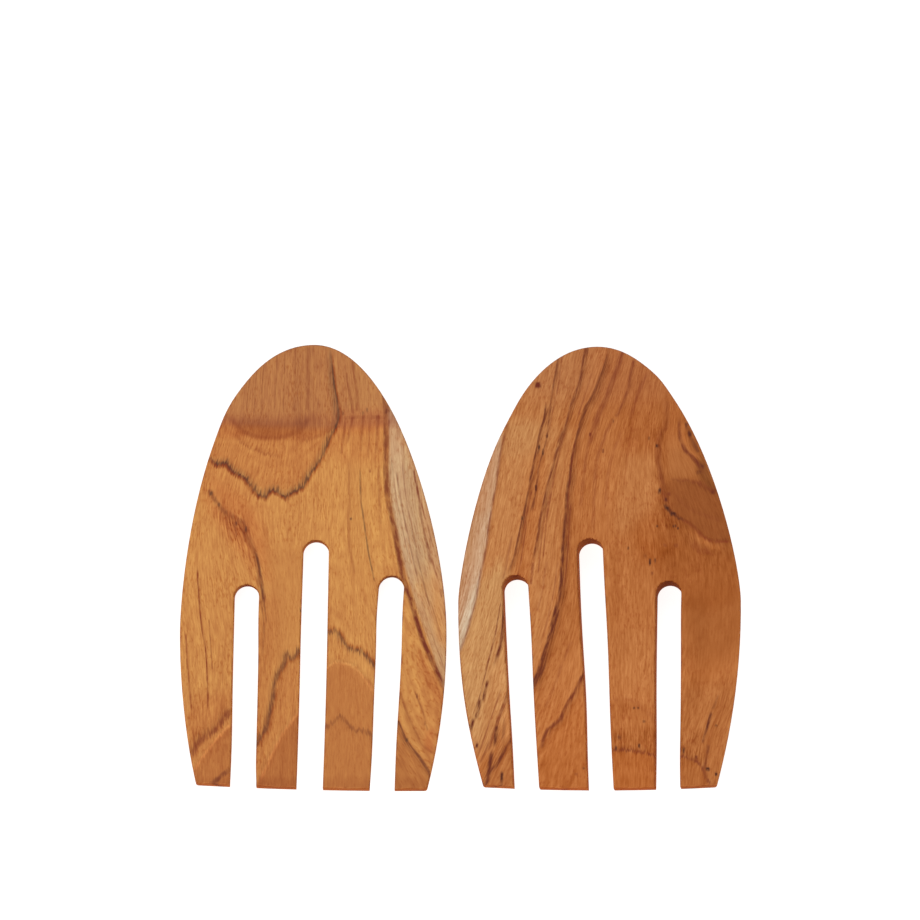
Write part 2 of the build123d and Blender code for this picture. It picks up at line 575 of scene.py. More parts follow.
LEFT_LINES = (
    # The bowl that hangs from the grip end
    GrowthLine(
        ((330, 343), (332, 365), (334, 383), (337, 400), (339, 412), (338, 421), (332, 435), (327, 446),
         (321, 459), (314, 469), (307, 480), (304, 486), (296, 491), (286, 496), (279, 494), (271, 491),
         (264, 498), (256, 492), (250, 485), (244, 478), (238, 474), (232, 471), (225, 463), (216, 464),
         (205, 450)),
        ink=0.6, ink_end=0.75, half_end=0.65, ragged=1.15, wash=-0.7, reach=3.5, fringe=0.8, red=0.2,
        year=1.0,
    ),
    GrowthLine(
        ((222, 411), (232, 420), (239, 427), (247, 433), (258, 437), (272, 438), (285, 437), (294, 432),
         (303, 424), (309, 416)),
        ink=0.2, ink_end=0.1, half=0.9, red=0.8, year=1.9,
    ),
    GrowthLine(((238, 438), (247, 446), (258, 451), (270, 455), (280, 456)), ink=0.3, ink_end=0.2, half=0.7,
               ragged=1.5, red=1.0, year=1.6),
    GrowthLine(((333, 427), (322, 434), (310, 439), (298, 441)), ink=0.25, ink_end=0.2, half=0.8,
               ragged=1.5, red=1.0, year=1.7),
    GrowthLine(
        ((304, 488), (296, 493), (286, 498), (279, 496), (271, 493), (264, 500), (256, 494), (250, 487),
         (244, 480), (238, 476), (232, 473), (225, 465), (216, 466), (205, 452)),
        ink=0.3, ink_end=0.45, half=0.9, ragged=1.15, red=0.85,
    ),
    # Lines that bend out round the palm's left side
    GrowthLine(((209, 489), (213, 497), (218, 503), (222, 509), (228, 513)), ink=0.5, ink_end=0.3, half=0.9,
               wash=-0.3, reach=3.0, red=0.55),
    GrowthLine(((224, 511), (232, 516), (240, 520), (245, 524.5), (248, 533)), ink=0.3, ink_end=0.4,
               half=0.9, ragged=2.5, wash=-0.4, reach=4.5, red=0.7, year=0.3),
    GrowthLine(((246, 528), (252, 543), (256, 553), (259, 565), (261, 580), (262.5, 592), (264, 604)),
               ink=0.2, ink_end=0.4, half=1.0, half_end=0.7, wash=-0.45, reach=4.5, red=0.7, year=0.3),
    GrowthLine(((255, 550), (258, 562), (261, 578), (262.8, 592), (264, 605)), ink=0.6, half=0.5, red=0.1,
               taper=0.2),
    GrowthLine(((262.5, 592), (264.5, 606), (266.5, 626)), ink=0.55, ink_end=0.4, red=0.6, taper=0.2),
    GrowthLine(((260, 572), (264, 588), (266, 602)), ink=0.4, half=0.35, red=0.7, taper=0.2),
    GrowthLine(((261, 600), (263, 615), (264, 632), (262, 658)), ink=0.5, ink_end=0.2, red=0.6),
    dash((233, 520), (236, 530), (237, 540), ink=0.4),
    dash((240, 524), (243, 533), (246, 546), ink=0.4, red=0.7),
    dash((226, 516), (229, 530), (232, 545), ink=0.3, red=0.9),
    GrowthLine(
        ((197, 565), (198.5, 590), (200, 610), (202, 630), (205, 645), (206.5, 660), (207.5, 684),
         (208, 712)),
        ink=0.65, half=0.35, ragged=0.4, wash=0.2, reach=1.5, red=0.95, year=-0.6,
    ),
    GrowthLine(((209, 618), (211, 649), (212.5, 670)), ink=0.4, half=0.3, red=0.9, year=-0.4),
    GrowthLine(((186, 632), (187, 656), (188.5, 675), (192, 712)), ink=0.5, red=1.0),
    # Sapwood edge, with the darker line further out
    GrowthLine(
        ((382, 380), (386, 405), (386.5, 425), (386, 445), (386.5, 480), (388.5, 500), (394.5, 530),
         (400, 560), (403.5, 580), (411, 600), (421, 635), (429, 654), (436, 668), (447, 697)),
        ink=0.5, ink_end=0.9, half=1.5, half_end=0.9, ragged=0.3, wash=-0.25, red=0.7, year=-1.2,
    ),
    GrowthLine(((413, 468), (416, 482), (419, 498), (422, 520), (425, 536), (428, 550), (432, 566)),
               ink=0.5, half=0.5, ragged=0.6, wash=-0.12, reach=3.0, red=0.7, year=-2.0),
    dash((414, 474), (417, 488), (419, 498), ink=0.5),
    dash((420, 497), (423, 510), (426, 522), ink=0.45, half=0.35, red=0.9),
    dash((427, 522), (430, 535), (433, 548), ink=0.4, red=0.85),
    dash((424, 530), (428, 545), (431, 558), ink=0.45, red=0.7),
    dash((431, 555), (434, 567), (438, 580), ink=0.5, half=0.35, red=0.9),
    dash((441, 588), (442.5, 598), ink=0.5, half=0.5),
    thread((391, 455), (394, 482), (399, 510), (405, 540), (411, 565), ink=0.3, half=0.35, red=0.6),
    GrowthLine(((396, 470), (400, 496), (405, 522), (411, 550), (418, 578)), ink=0.35, red=0.6),
    GrowthLine(((402, 462), (405, 490), (410, 520), (416, 550), (423, 580), (431, 612)), ink=0.35, red=0.6),
    GrowthLine(((394, 470), (398, 498), (404, 528), (410, 556), (418, 590), (427, 622)), ink=-0.15,
               half=0.5),
    GrowthLine(((399, 436), (401, 462), (406, 495), (412, 530)), ink=-0.2, half=0.5),
    GrowthLine(((421, 600), (428, 622), (437, 648), (445, 672)), ink=0.3, red=0.8),
    thread((430, 600), (436, 620), (442, 642), ink=0.3, half=0.35),
    # Threads of the grip end
    thread((250, 375), (248, 395), (246, 412), ink=0.25),
    thread((257, 368), (255, 390), (254, 414), ink=0.25),
    thread((264, 362), (262, 388), (261, 416), ink=0.3),
    thread((277, 352), (276, 380), (274, 410), ink=0.3),
    thread((285, 350), (284, 380), (283, 414), ink=0.35),
    thread((295, 347), (295, 380), (294, 412), ink=0.25),
    GrowthLine(((308, 345), (308, 380), (307, 412)), ink=0.3, half=0.8, red=0.9),
    # Streaks under the crease, right of the bowl
    GrowthLine(((360, 466), (361, 500), (363, 515), (366, 535), (368, 550), (371, 565), (375, 583)),
               ink=0.5, half=0.35, ragged=0.6, red=0.0, year=-0.5),
    GrowthLine(((352, 358), (355, 378), (357, 395), (357, 412)), ink=0.45, ink_end=0.4, half=0.7, red=1.0,
               year=0.4),
    GrowthLine(((346, 372), (350, 395), (353, 414)), ink=0.4, ink_end=0.45, half=0.6, red=0.9),
    GrowthLine(((353, 416), (350, 430), (347, 445)), ink=0.5, ink_end=0.2, half=0.6, red=0.9),
    GrowthLine(((363, 414), (362, 428), (361, 452)), ink=0.5, ink_end=0.2, half=0.6, red=0.9),
    GrowthLine(((378, 414), (377, 430), (376, 455)), ink=0.5, ink_end=0.2, half=0.7, red=0.9),
    GrowthLine(((346, 417), (344, 432), (341, 455)), ink=0.4, ink_end=0.2, half=0.6, red=0.9),
    GrowthLine(((370, 416), (369, 435), (368, 460)), ink=0.4, ink_end=0.15, half=0.5, red=1.0),
    GrowthLine(((349, 460), (349, 500), (349, 540), (355, 575)), ink=0.3, ink_end=0.2, half=0.6, red=1.0),
    GrowthLine(((379, 465), (379, 495), (381, 525)), ink=0.35, ink_end=0.2, half=0.6, red=1.0),
    # Along the crease itself: a soft dark band drawn as a growth line, partly painted shade where the land
    # turns down into the hollow
    GrowthLine(((343, 418), (360, 417), (388, 417)), ink=0.2, half=1.8, ragged=2.5, red=0.9),
    # Arches over the tines
    GrowthLine(
        ((302, 645), (297, 654), (292, 659), (286.5, 655), (285, 662), (280, 672), (275, 684), (273, 700),
         (269, 715), (266, 729), (260, 737), (254, 748)),
        ink=0.55, ink_end=0.65, half=0.8, half_end=1.0, ragged=1.6, wash=-0.45, reach=3.0, fringe=0.6,
        red=0.4, year=1.0,
    ),
    GrowthLine(
        ((322, 632), (330, 631), (337, 631), (345, 643), (351, 649), (360, 650), (367, 656), (378, 669)),
        ink=0.6, half=0.8, ragged=1.7, wash=-0.4, reach=3.0, fringe=0.7, red=0.3, year=1.0,
    ),
    GrowthLine(((303, 707), (287, 727), (280, 738), (274, 750), (267, 765), (258, 786)), ink=-0.45,
               half=0.6, ragged=1.4, wash=-0.2, reach=3.0, red=0.6, year=1.5),
    GrowthLine(((322, 672), (333, 664), (343, 663), (353, 666), (360, 673), (367, 682), (378, 698)),
               ink=-0.35, half=0.5, ragged=1.4, wash=0.2, year=1.5),
    GrowthLine(((322, 729), (335, 721), (341, 717), (346, 722), (354, 729), (365, 730), (376, 739)),
               ink=0.4, half=0.9, ragged=1.6, wash=-0.15, reach=4.0, red=0.6, year=2.0),
    GrowthLine(((232, 708), (223.5, 722), (215, 729), (204, 736), (197, 745), (189, 759)), ink=0.55,
               ink_end=0.5, half=1.3, ragged=2.8, wash=-0.45, reach=4.5, red=0.8, year=1.0),
    GrowthLine(((232, 724), (215, 741), (205, 754), (194, 771)), ink=-0.45, half=0.6, ragged=1.4, red=0.6,
               year=1.5),
    GrowthLine(((232, 767), (220, 777), (208, 787)), ink=0.6, half=1.0, red=0.6, year=2.0),
    GrowthLine(((394, 711), (403, 731), (407, 740.5), (415, 751), (422, 761), (434, 780)), ink=0.65,
               ink_end=0.6, half=0.5, ragged=1.0, wash=-0.3, reach=3.0, fringe=0.2, year=1.0),
    GrowthLine(((398, 684), (405, 707), (410.5, 721), (417.5, 735), (422, 744), (434, 754)), ink=0.35,
               ink_end=0.25, half=0.5, wash=-0.15, red=0.9, year=0.5),
    GrowthLine(((414, 690), (423, 712), (428, 731)), ink=0.3, half=0.35, red=0.7, year=0.0),
    GrowthLine(((392, 745), (402, 768), (410, 792)), ink=0.0, year=1.5),
)
LEFT_FLECKS = (
    Fleck((211, 493), length=2.5, half=0.7),
    Fleck((219, 505), half=0.5, ink=0.5),
    Fleck((246, 529), length=3.0, half=0.5, red=0.4),
    Fleck((236, 524), length=2.4, half=0.6, ink=0.7, red=0.5),
    Fleck((407, 740), half=0.6, ink=0.6),
    Fleck((417, 696), length=2.5, half=0.4, ink=0.6, red=0.6),
    Fleck((425, 723), length=2.5, half=0.4, ink=0.6, red=0.6),
    Fleck((351, 519), length=1.5, half=0.5),
    Fleck((367, 410), length=2.5, ink=0.4),
    Fleck((363, 413), ink=0.4),
    Fleck((343, 413), length=2.5, ink=0.5, red=0.5),
    Fleck((386, 411), length=2.5, red=0.5),
    Fleck((370, 471), ink=0.5, red=1.0),
    Fleck((302, 609), length=1.5, half=0.8),
)
LEFT_PATCHES = (
    # The land under the grip end: greyed all over as painted sheen where it faces straight up, and duller
    # left of the bowl's line
    Patch(((180, 320), (460, 320), (460, 416), (180, 416)), blur=2.0, light=-0.05, red=0.3, dull=0.2),
    Patch(((180, 320), (330, 320), (338, 416), (180, 416)), blur=1.5, light=-0.05, red=0.2),
    Patch(((296, 335), (314, 335), (314, 425), (296, 425)), blur=3.0, light=-0.06, red=0.1),
    # Dark sickles under the crease
    Patch(
        ((222, 400), (311, 400), (307, 425), (297, 434), (286, 438.5), (272, 440), (258, 439), (246, 435),
         (236, 428)),
        blur=1.2, light=-0.28, red=0.8, calm=0.3, fade=(409, 427),
    ),
    Patch(((309, 400), (340, 400), (335, 426), (320, 435), (303, 440), (294, 438), (304, 426)), blur=1.8,
          light=-0.17, red=0.55, fade=(408, 422)),
    Patch(((205, 400), (224, 400), (238, 428), (244, 436), (215, 434)), blur=2.0, light=-0.18, red=0.7,
          fade=(408, 422)),
    Patch(((338, 410), (390, 410), (390, 428), (336, 430)), blur=3.0, light=-0.05, red=0.45),
    Patch(((215, 432), (335, 430), (322, 455), (305, 480), (270, 488), (240, 472), (205, 452)), blur=4.0,
          light=-0.09, red=0.4),
    # Red wood along the left side's lines, smooth wood between them and the middle slot
    Patch(
        ((207, 490), (222, 504), (240, 516), (250, 530), (259, 556), (262, 585), (256, 580), (243, 560),
         (228, 540), (212, 514)),
        blur=3.0, light=-0.09, red=0.45, calm=-0.8,
    ),
    Patch(((190, 440), (235, 470), (262, 510), (262, 560), (236, 540), (205, 500), (190, 470)), blur=6.0,
          light=-0.04, red=0.3),
    Patch(((222, 508), (243, 518), (251, 533), (240, 540), (226, 526)), blur=3.0, light=-0.1, red=0.3),
    Patch(((215, 484), (240, 500), (262, 530), (270, 580), (262, 570), (250, 524), (224, 502)), blur=4.0,
          light=-0.05, red=0.4, calm=0.3),
    Patch(((262, 540), (303, 560), (300, 650), (268, 660), (266, 600)), blur=4.0, light=-0.05, red=0.12,
          calm=0.4),
    Patch(((256, 600), (278, 600), (268, 700), (258, 770), (250, 770)), blur=3.0, light=-0.09, red=0.35),
    Patch(((345, 470), (388, 470), (392, 560), (345, 560)), blur=6.0, light=0.02, red=-0.1),
    Patch(((336, 420), (390, 420), (390, 458), (332, 458)), blur=5.0, light=-0.05, red=0.3),
    # Smooth red wood under the arches of the tines
    Patch(((232, 690), (190, 705), (186, 750), (200, 760), (232, 722)), blur=4.0, light=-0.12, red=0.5),
    Patch(((232, 724), (215, 741), (205, 754), (190, 776), (190, 800), (236, 800)), blur=1.0, light=-0.2,
          red=0.7, calm=0.4),
    Patch(((303, 660), (280, 680), (262, 745), (254, 760), (260, 780), (287, 727), (303, 707)), blur=3.0,
          light=-0.07, red=0.35),
    Patch(((303, 707), (287, 727), (280, 738), (267, 765), (254, 800), (303, 800)), blur=1.0, light=-0.25,
          red=0.8, calm=0.4),
    Patch(((320, 673), (333, 664), (343, 663), (360, 673), (378, 698), (376, 800), (318, 800)), blur=0.6,
          light=-0.16, red=0.55, calm=0.5),
    Patch(((392, 708), (403, 731), (415, 751), (436, 782), (434, 800), (390, 800)), blur=1.2, light=-0.22,
          red=0.6, calm=0.3),
    Patch(((420, 660), (446, 700), (438, 770), (420, 740)), blur=4.0, light=-0.06, red=0.3),
    Patch(((426, 732), (434, 730), (432, 752), (425, 747)), blur=1.5, light=-0.05, red=0.5),
    # Along the tine tips: darker and redder, partly painted shade where the tips tilt away from the light
    Patch(((180, 779), (445, 779), (445, 800), (180, 800)), blur=2.0, light=-0.08, red=0.2),
    # Sapwood
    Patch(
        ((388, 408), (389, 440), (389, 475), (391, 500), (397, 530), (403, 560), (414, 600), (431, 650),
         (450, 697), (470, 640), (455, 500), (420, 400)),
        blur=0.7, light=-0.02, sap=0.9,
    ),
    Patch(((391, 415), (391, 480), (400, 530), (408, 560), (416, 560), (408, 500), (402, 440)), blur=2.0,
          light=0.06),
    Patch(((410, 570), (425, 610), (442, 650), (450, 640), (445, 600), (430, 560)), blur=3.0, light=0.02,
          red=-0.02, sap=-0.15),
    Patch(((402, 440), (414, 480), (420, 530), (432, 580), (438, 640), (470, 640), (455, 500), (425, 430)),
          blur=2.0, red=0.1, sap=-0.28),
    Patch(((403, 445), (412, 465), (424, 535), (431, 580), (420, 592), (411, 550), (403, 500)), blur=2.0,
          light=-0.03, red=-0.05, sap=-0.1),
    Patch(((405, 585), (440, 585), (455, 700), (432, 670)), blur=5.0, light=0.02, red=-0.05, sap=-0.3),
    Patch(((392, 405), (425, 405), (425, 440), (400, 440)), blur=4.0, light=-0.1, red=0.2, sap=-0.2),
    Patch(((420, 650), (446, 700), (436, 700), (418, 660)), blur=2.0, light=-0.08, red=0.4),
)
LEFT_GUIDES = (
    ((226, 345), (216, 420), (203, 484), (197, 565), (200, 610), (205, 645), (208, 712), (212, 800)),
    ((262, 345), (258, 420), (236, 500), (244, 545), (256, 590), (262, 640), (266, 712), (270, 800)),
    ((300, 345), (298, 480), (296, 560), (298, 640), (296, 800)),
    ((345, 345), (349, 420), (349, 540), (352, 640), (350, 800)),
    ((364, 345), (366, 420), (369, 550), (378, 610), (392, 690), (403, 731), (422, 761), (450, 800)),
    ((378, 345), (386, 405), (386, 445), (388, 500), (400, 560), (411, 600), (429, 654), (447, 697),
     (492, 800)),
)
LEFT_FIGURE = Figure(
    lines=LEFT_LINES, flecks=LEFT_FLECKS, patches=LEFT_PATCHES, guides=LEFT_GUIDES,
    drift_across=0.7, drift_along=1.3,
)

RIGHT_LINES = (
    # Streaks that run from the grip end down into the left tines
    GrowthLine(
        ((611, 340), (604, 366), (600, 376), (595, 390), (590, 400), (585, 408), (581, 420), (578, 432),
         (574, 448), (571, 462), (570, 475), (567, 492), (566, 510), (564, 530), (562.5, 550), (561.5, 571),
         (560, 592), (556, 608), (551.5, 628), (546, 648), (541, 664), (536, 679), (528, 700)),
        ink=0.45, ink_end=0.85, half_end=0.9, ragged=0.9, wash=0.75, reach=4.5, red=0.4, year=4.0,
    ),
    GrowthLine(
        ((587, 340), (584, 355), (581, 375), (576, 392), (571, 405), (567, 420), (561, 437), (557, 450),
         (553, 465), (549, 480), (545, 495), (542, 510), (539, 525), (537, 541), (532, 564)),
        ink=0.55, ink_end=0.6, half=0.55, half_end=0.45, ragged=0.9, wash=0.6, reach=4.0, red=0.55,
        year=3.0,
    ),
    GrowthLine(
        ((546, 400), (544, 418), (540, 430), (537, 447), (534, 462), (531, 475), (529, 488), (526, 503),
         (522, 520), (519, 535), (515, 552), (508, 577)),
        ink=0.7, ink_end=0.6, half_end=0.45, ragged=0.9, wash=0.55, reach=3.0, red=0.45, year=2.0,
    ),
    GrowthLine(
        ((559, 352), (556, 370), (553, 388), (550, 408), (547, 436), (543, 452), (538, 470), (536, 490),
         (530, 515)),
        ink=0.45, ink_end=0.55, wash=0.3, reach=2.0, year=2.5,
    ),
    GrowthLine(
        ((508, 420), (505.5, 431), (502, 447), (499, 462), (497, 478), (493, 501), (490, 518), (487.5, 535),
         (484.5, 556), (480, 575), (475, 600), (470, 620), (465, 637), (458, 655)),
        ink=0.55, ink_end=0.45, half=0.5, ragged=0.4, wash=0.15, red=0.7, year=0.6,
    ),
    # Thin red threads beside those streaks
    thread((563, 352), (560, 372), (557, 392), (553, 410), (549, 432), ink=0.4, red=0.9),
    thread((566, 430), (561, 446), (557, 462), (553, 480), (549, 500), (546, 520), red=0.85),
    thread((556, 470), (552, 490), (548, 512), (545, 535), (543, 560), red=0.9),
    thread((548, 500), (544, 522), (541, 545), (538, 575), ink=0.4, red=0.9),
    thread((532, 490), (528, 508), (524, 528), (521, 545), ink=0.5),
    thread((527, 520), (524, 540), (521, 560), (518, 576), ink=0.5, half=0.35, red=0.85),
    thread((575, 440), (572, 462), (569, 488), (567, 515), (566, 545)),
    thread((571, 500), (569, 530), (567, 560), (564, 590), half=0.35),
    thread((592, 372), (586, 392), (580, 410), (575, 428), ink=0.35, half=0.35, red=0.9),
    GrowthLine(
        ((624, 346), (619, 362), (614, 376), (610, 388), (604, 402), (599, 415), (595, 428), (589, 446)),
        ink=0.5, ink_end=0.35, half=1.1, wash=0.25, red=0.85, year=4.6,
    ),
    GrowthLine(((634, 358), (631, 373), (629, 385), (626, 395), (622, 405), (615, 418)), ink=0.5,
               ink_end=0.4, half=0.6, wash=0.2, red=0.75, year=5.0),
    GrowthLine(((650, 370), (643, 382), (639, 392), (634, 405), (630, 420)), ink=0.3, half=0.8, red=0.9),
    GrowthLine(((600, 402), (593, 425), (587, 450), (584, 475), (580, 510)), ink=0.3, ink_end=0.25,
               half=0.8, red=0.9, year=4.3),
    GrowthLine(((614, 418), (607, 431), (601, 447), (596, 465), (594, 500), (593, 535)), ink=0.35,
               ink_end=0.2, half=0.8, red=0.9, year=4.8),
    GrowthLine(((622, 430), (614, 450), (608, 475), (605, 510)), ink=0.2, half=0.8, red=1.0, year=5.1),
    # Dark streaks of the outer tine
    GrowthLine(((504, 598), (503.5, 615), (502.5, 630), (500, 645), (497, 657), (493, 669)), ink=0.75,
               half=0.45, half_end=0.8, wash=0.3, reach=2.0, year=2.0, taper=0.25),
    GrowthLine(
        ((501, 600), (498.5, 616), (495.5, 632), (492, 647), (488, 663), (483.5, 681), (478.5, 700),
         (472, 717)),
        ink=0.6, ink_end=0.5, half=0.35, red=0.6,
    ),
    thread((498, 622), (494, 640), (489.5, 656), (484.5, 672), ink=0.4, red=0.85),
    GrowthLine(((488, 678), (485.5, 690), (482.5, 704)), ink=0.8, half=0.7, red=0.45, year=1.8, taper=0.2),
    GrowthLine(((481, 698), (478.5, 708), (475.5, 720)), ink=0.8, half=0.75, red=0.4, taper=0.2),
    GrowthLine(((474, 717), (470, 732)), ink=0.8, half=0.7, red=0.4, taper=0.2),
    GrowthLine(((509, 686), (503.5, 703), (497.5, 719), (492, 735), (486, 749), (479, 766)), ink=0.5,
               ink_end=0.4, wash=0.2, reach=1.5, red=0.7, year=2.8),
    thread((501, 688), (495, 707), (489, 723), (484, 738), (477, 757), ink=0.4, half=0.35, red=0.85),
    thread((508, 697), (500, 717), (495, 732), (488, 752), half=0.35, red=0.75),
    GrowthLine(((497, 724), (495.5, 735), (494.5, 748)), ink=0.9, ink_end=0.8, half=0.6, wash=0.3,
               reach=2.0, red=0.35, year=3.0, taper=0.2),
    dash((505, 716), (504, 730), (502, 746), ink=0.35, half=0.7, red=0.4),
    GrowthLine(((493, 748), (490, 762), (488, 780)), ink=0.7, ink_end=0.8, half=0.9, red=0.4, taper=0.3),
    GrowthLine(((514, 735), (504, 752), (497, 764), (490, 773), (485, 788)), ink=0.65, ink_end=0.7,
               half=0.6, half_end=0.9, ragged=0.6, wash=-0.5, reach=3.5, red=0.45, year=4.0),
    GrowthLine(((502, 770), (501.4, 792)), ink=0.9, half=0.6, red=0.2, taper=0.2),
    # Red streaks over the outer slot and beside the second tine
    GrowthLine(((512, 535), (508, 556), (503, 580)), ink=0.35, ink_end=0.3, half=0.5, red=0.8),
    GrowthLine(((558, 560), (554, 590), (547, 622), (540, 645)), ink=0.35, ink_end=0.25, half=0.45,
               red=0.9),
    GrowthLine(((547, 560), (542, 590), (537, 612)), ink=0.35, ink_end=0.25, half=0.5, red=0.9),
    GrowthLine(((533, 562), (531, 585)), ink=0.45, ink_end=0.4, half=0.6, red=0.8),
    GrowthLine(((572, 640), (562, 664), (553, 690), (545, 708)), ink=0.25, ink_end=0.2, half=0.6, red=0.9,
               year=4.5),
    GrowthLine(
        ((587, 668), (580, 680), (573, 694), (567, 704), (560, 718), (553, 725), (546, 732), (540, 750)),
        ink=0.75, ink_end=0.6, half=0.6, half_end=0.8, ragged=0.6, wash=0.45, reach=3.5, red=0.6, year=5.0,
    ),
    # The dark wedge at the right and the arcs over it
    GrowthLine(
        ((666, 398), (666, 415), (665, 426), (661, 433), (658, 445), (658, 460), (660, 475), (663, 490),
         (667, 505)),
        ink=0.12, ink_end=0.3, half=1.3, ragged=1.5, wash=0.3, reach=4.0, red=0.8, year=6.0,
    ),
    GrowthLine(
        ((666, 505), (673, 514), (680, 519), (690, 525), (697, 531), (703, 537), (709, 540.5), (717, 541.5),
         (732, 541)),
        ink=0.1, ink_end=0.5, half=0.8, half_end=0.6, wash=0.3, reach=4.0, red=1.0, year=6.2,
    ),
    GrowthLine(((664, 503), (667, 508), (673, 514), (679, 518), (685, 521)), ink=0.8, ink_end=0.3, half=0.9,
               half_end=0.6, ragged=1.5, red=0.1, taper=0.15),
    GrowthLine(((687, 529), (696, 536), (703, 541), (710, 546), (721, 547)), ink=-0.4, half=1.2,
               ragged=1.5),
    GrowthLine(((688, 540), (698, 548), (706, 552), (716, 554)), ink=0.25, half=1.4, ragged=1.5, red=0.9,
               taper=0.3),
    GrowthLine(((670, 479), (682, 480), (692, 481), (699, 482), (706, 487), (718, 492)), ink=0.25,
               ink_end=0.45, half=0.5, half_end=1.2, ragged=1.4, wash=-0.2, reach=4.0, red=0.7),
    GrowthLine(((674, 493), (685, 505), (700, 514), (722, 520)), ink=0.15, half=0.8, ragged=1.5, red=0.8),
    GrowthLine(
        ((679, 414), (679, 428), (680, 437), (682, 444), (686, 451), (692, 457), (698, 464), (705, 476)),
        ink=0.5, ink_end=0.75, half=0.7, half_end=1.0, ragged=0.4, red=0.6, year=6.4, taper=0.15,
    ),
    GrowthLine(((683, 422), (684, 437), (688, 447), (694, 454.5), (701, 461)), ink=-0.3, half=0.7,
               ragged=0.4, year=6.6),
    GrowthLine(((686, 422), (689, 433), (692, 441), (699, 453)), ink=0.75, ink_end=0.5, half=0.8, red=0.3),
    # Arches near the tine tips
    GrowthLine(((609, 751), (624, 750), (640, 752), (658, 756)), ink=0.5, half=0.6, ragged=1.5, wash=0.35,
               reach=3.0, red=0.7, year=7.0),
    GrowthLine(((610, 700), (626, 698), (640, 706), (657, 722)), ink=0.12, half=1.0, ragged=1.5, red=1.0,
               year=6.6),
    GrowthLine(((718, 694), (715, 704), (712, 711)), ink=0.35, half=0.5, red=0.3, taper=0.2),
    GrowthLine(((711.5, 710), (708.5, 722), (705, 733), (702, 744)), ink=0.8, ink_end=0.65, half=0.65,
               half_end=0.5, ragged=0.3, red=0.35, year=7.0, taper=0.12),
    GrowthLine(((708.5, 743), (707, 752), (705, 762), (704, 772)), ink=0.45, half=0.8, red=0.4, taper=0.15),
    GrowthLine(((678, 755), (690, 759), (697, 762), (702, 768), (707, 780), (714, 788)), ink=0.5, half=0.6,
               ragged=1.0, wash=0.3, reach=3.0, red=0.7),
)
RIGHT_FLECKS = (
    Fleck((538, 385), length=3.2, half=1.2, ink=1.2, red=0.6),
    Fleck((547, 436), length=2.5),
    Fleck((543, 452), length=3.5),
    Fleck((536, 488), length=3.5),
    Fleck((539, 447), length=3.0),
    Fleck((613, 421), ink=0.6),
    Fleck((590, 434), red=0.6),
    Fleck((603, 451), red=0.5),
    Fleck((522, 518)),
    Fleck((477, 745), length=2.5, half=0.6, red=0.4),
    # Round the dark wedge
    Fleck((657.5, 446), half=0.8),
    Fleck((649, 438), length=2.2, half=0.4, ink=0.65),
    Fleck((659.5, 491), length=3.4, half=0.6, ink=0.95),
    Fleck((666, 500), length=2.4, half=0.7, ink=0.7, red=0.4),
    Fleck((667, 508), length=1.8, half=1.0, ink=1.3),
    Fleck((673, 514), length=1.6, half=1.2, ink=1.2),
    Fleck((679, 519), length=1.4, half=0.7),
    Fleck((673.5, 526), length=1.6, half=0.35, ink=1.0),
    Fleck((675.5, 526), length=1.8, half=0.35, ink=1.1),
    Fleck((678, 528), length=1.6, half=0.35, ink=0.95),
    Fleck((657, 526), length=1.3, half=0.5, ink=1.0),
    Fleck((669, 494), length=2.5, half=0.7, ink=0.5, red=0.7),
    Fleck((628, 548), length=1.8, ink=0.8),
    Fleck((645, 556), length=2.2, half=0.8, ink=0.5),
    Fleck((650, 562), length=3.6, half=0.5, ink=0.8),
    Fleck((655, 561), length=3.0, half=0.4, ink=0.6),
    Fleck((652, 573), length=1.8, half=0.5, ink=0.6, red=0.5),
    Fleck((702, 466), length=2.2, half=1.3, red=0.3),
    Fleck((699, 472), half=1.0, ink=0.65, red=0.4),
    Fleck((690, 434), length=2.6, half=0.8, ink=0.8),
    Fleck((713, 492), length=2.4, half=0.8, ink=0.65, red=0.4),
    Fleck((665, 545), half=0.9, ink=0.45, red=0.7),
    Fleck((676, 546), half=0.9, ink=0.45, red=0.7),
    # Near the tine tips
    Fleck((634, 708), length=1.4),
    Fleck((638, 708), length=1.2, ink=0.7),
    Fleck((644, 721), length=1.4, half=0.7, ink=0.7),
    Fleck((619, 737), length=2.4, half=0.9, ink=0.65, red=0.4),
    Fleck((639, 746), length=2.4, half=0.5, ink=0.95),
    Fleck((616, 748), half=0.5, ink=0.65),
    Fleck((707.5, 769), length=1.6, half=0.8, ink=1.1),
    Fleck((683.5, 750), length=3.2, half=0.5),
    Fleck((696, 757), length=1.8, half=0.6, ink=0.65, red=0.5),
    Fleck((716, 726), length=1.2, half=0.6, ink=0.65),
    Fleck((716, 774), half=0.6),
    Fleck((584, 768), length=1.6, half=0.6, ink=0.7),
    Fleck((576, 774), length=1.6, half=0.7, ink=0.5, red=0.7),
)
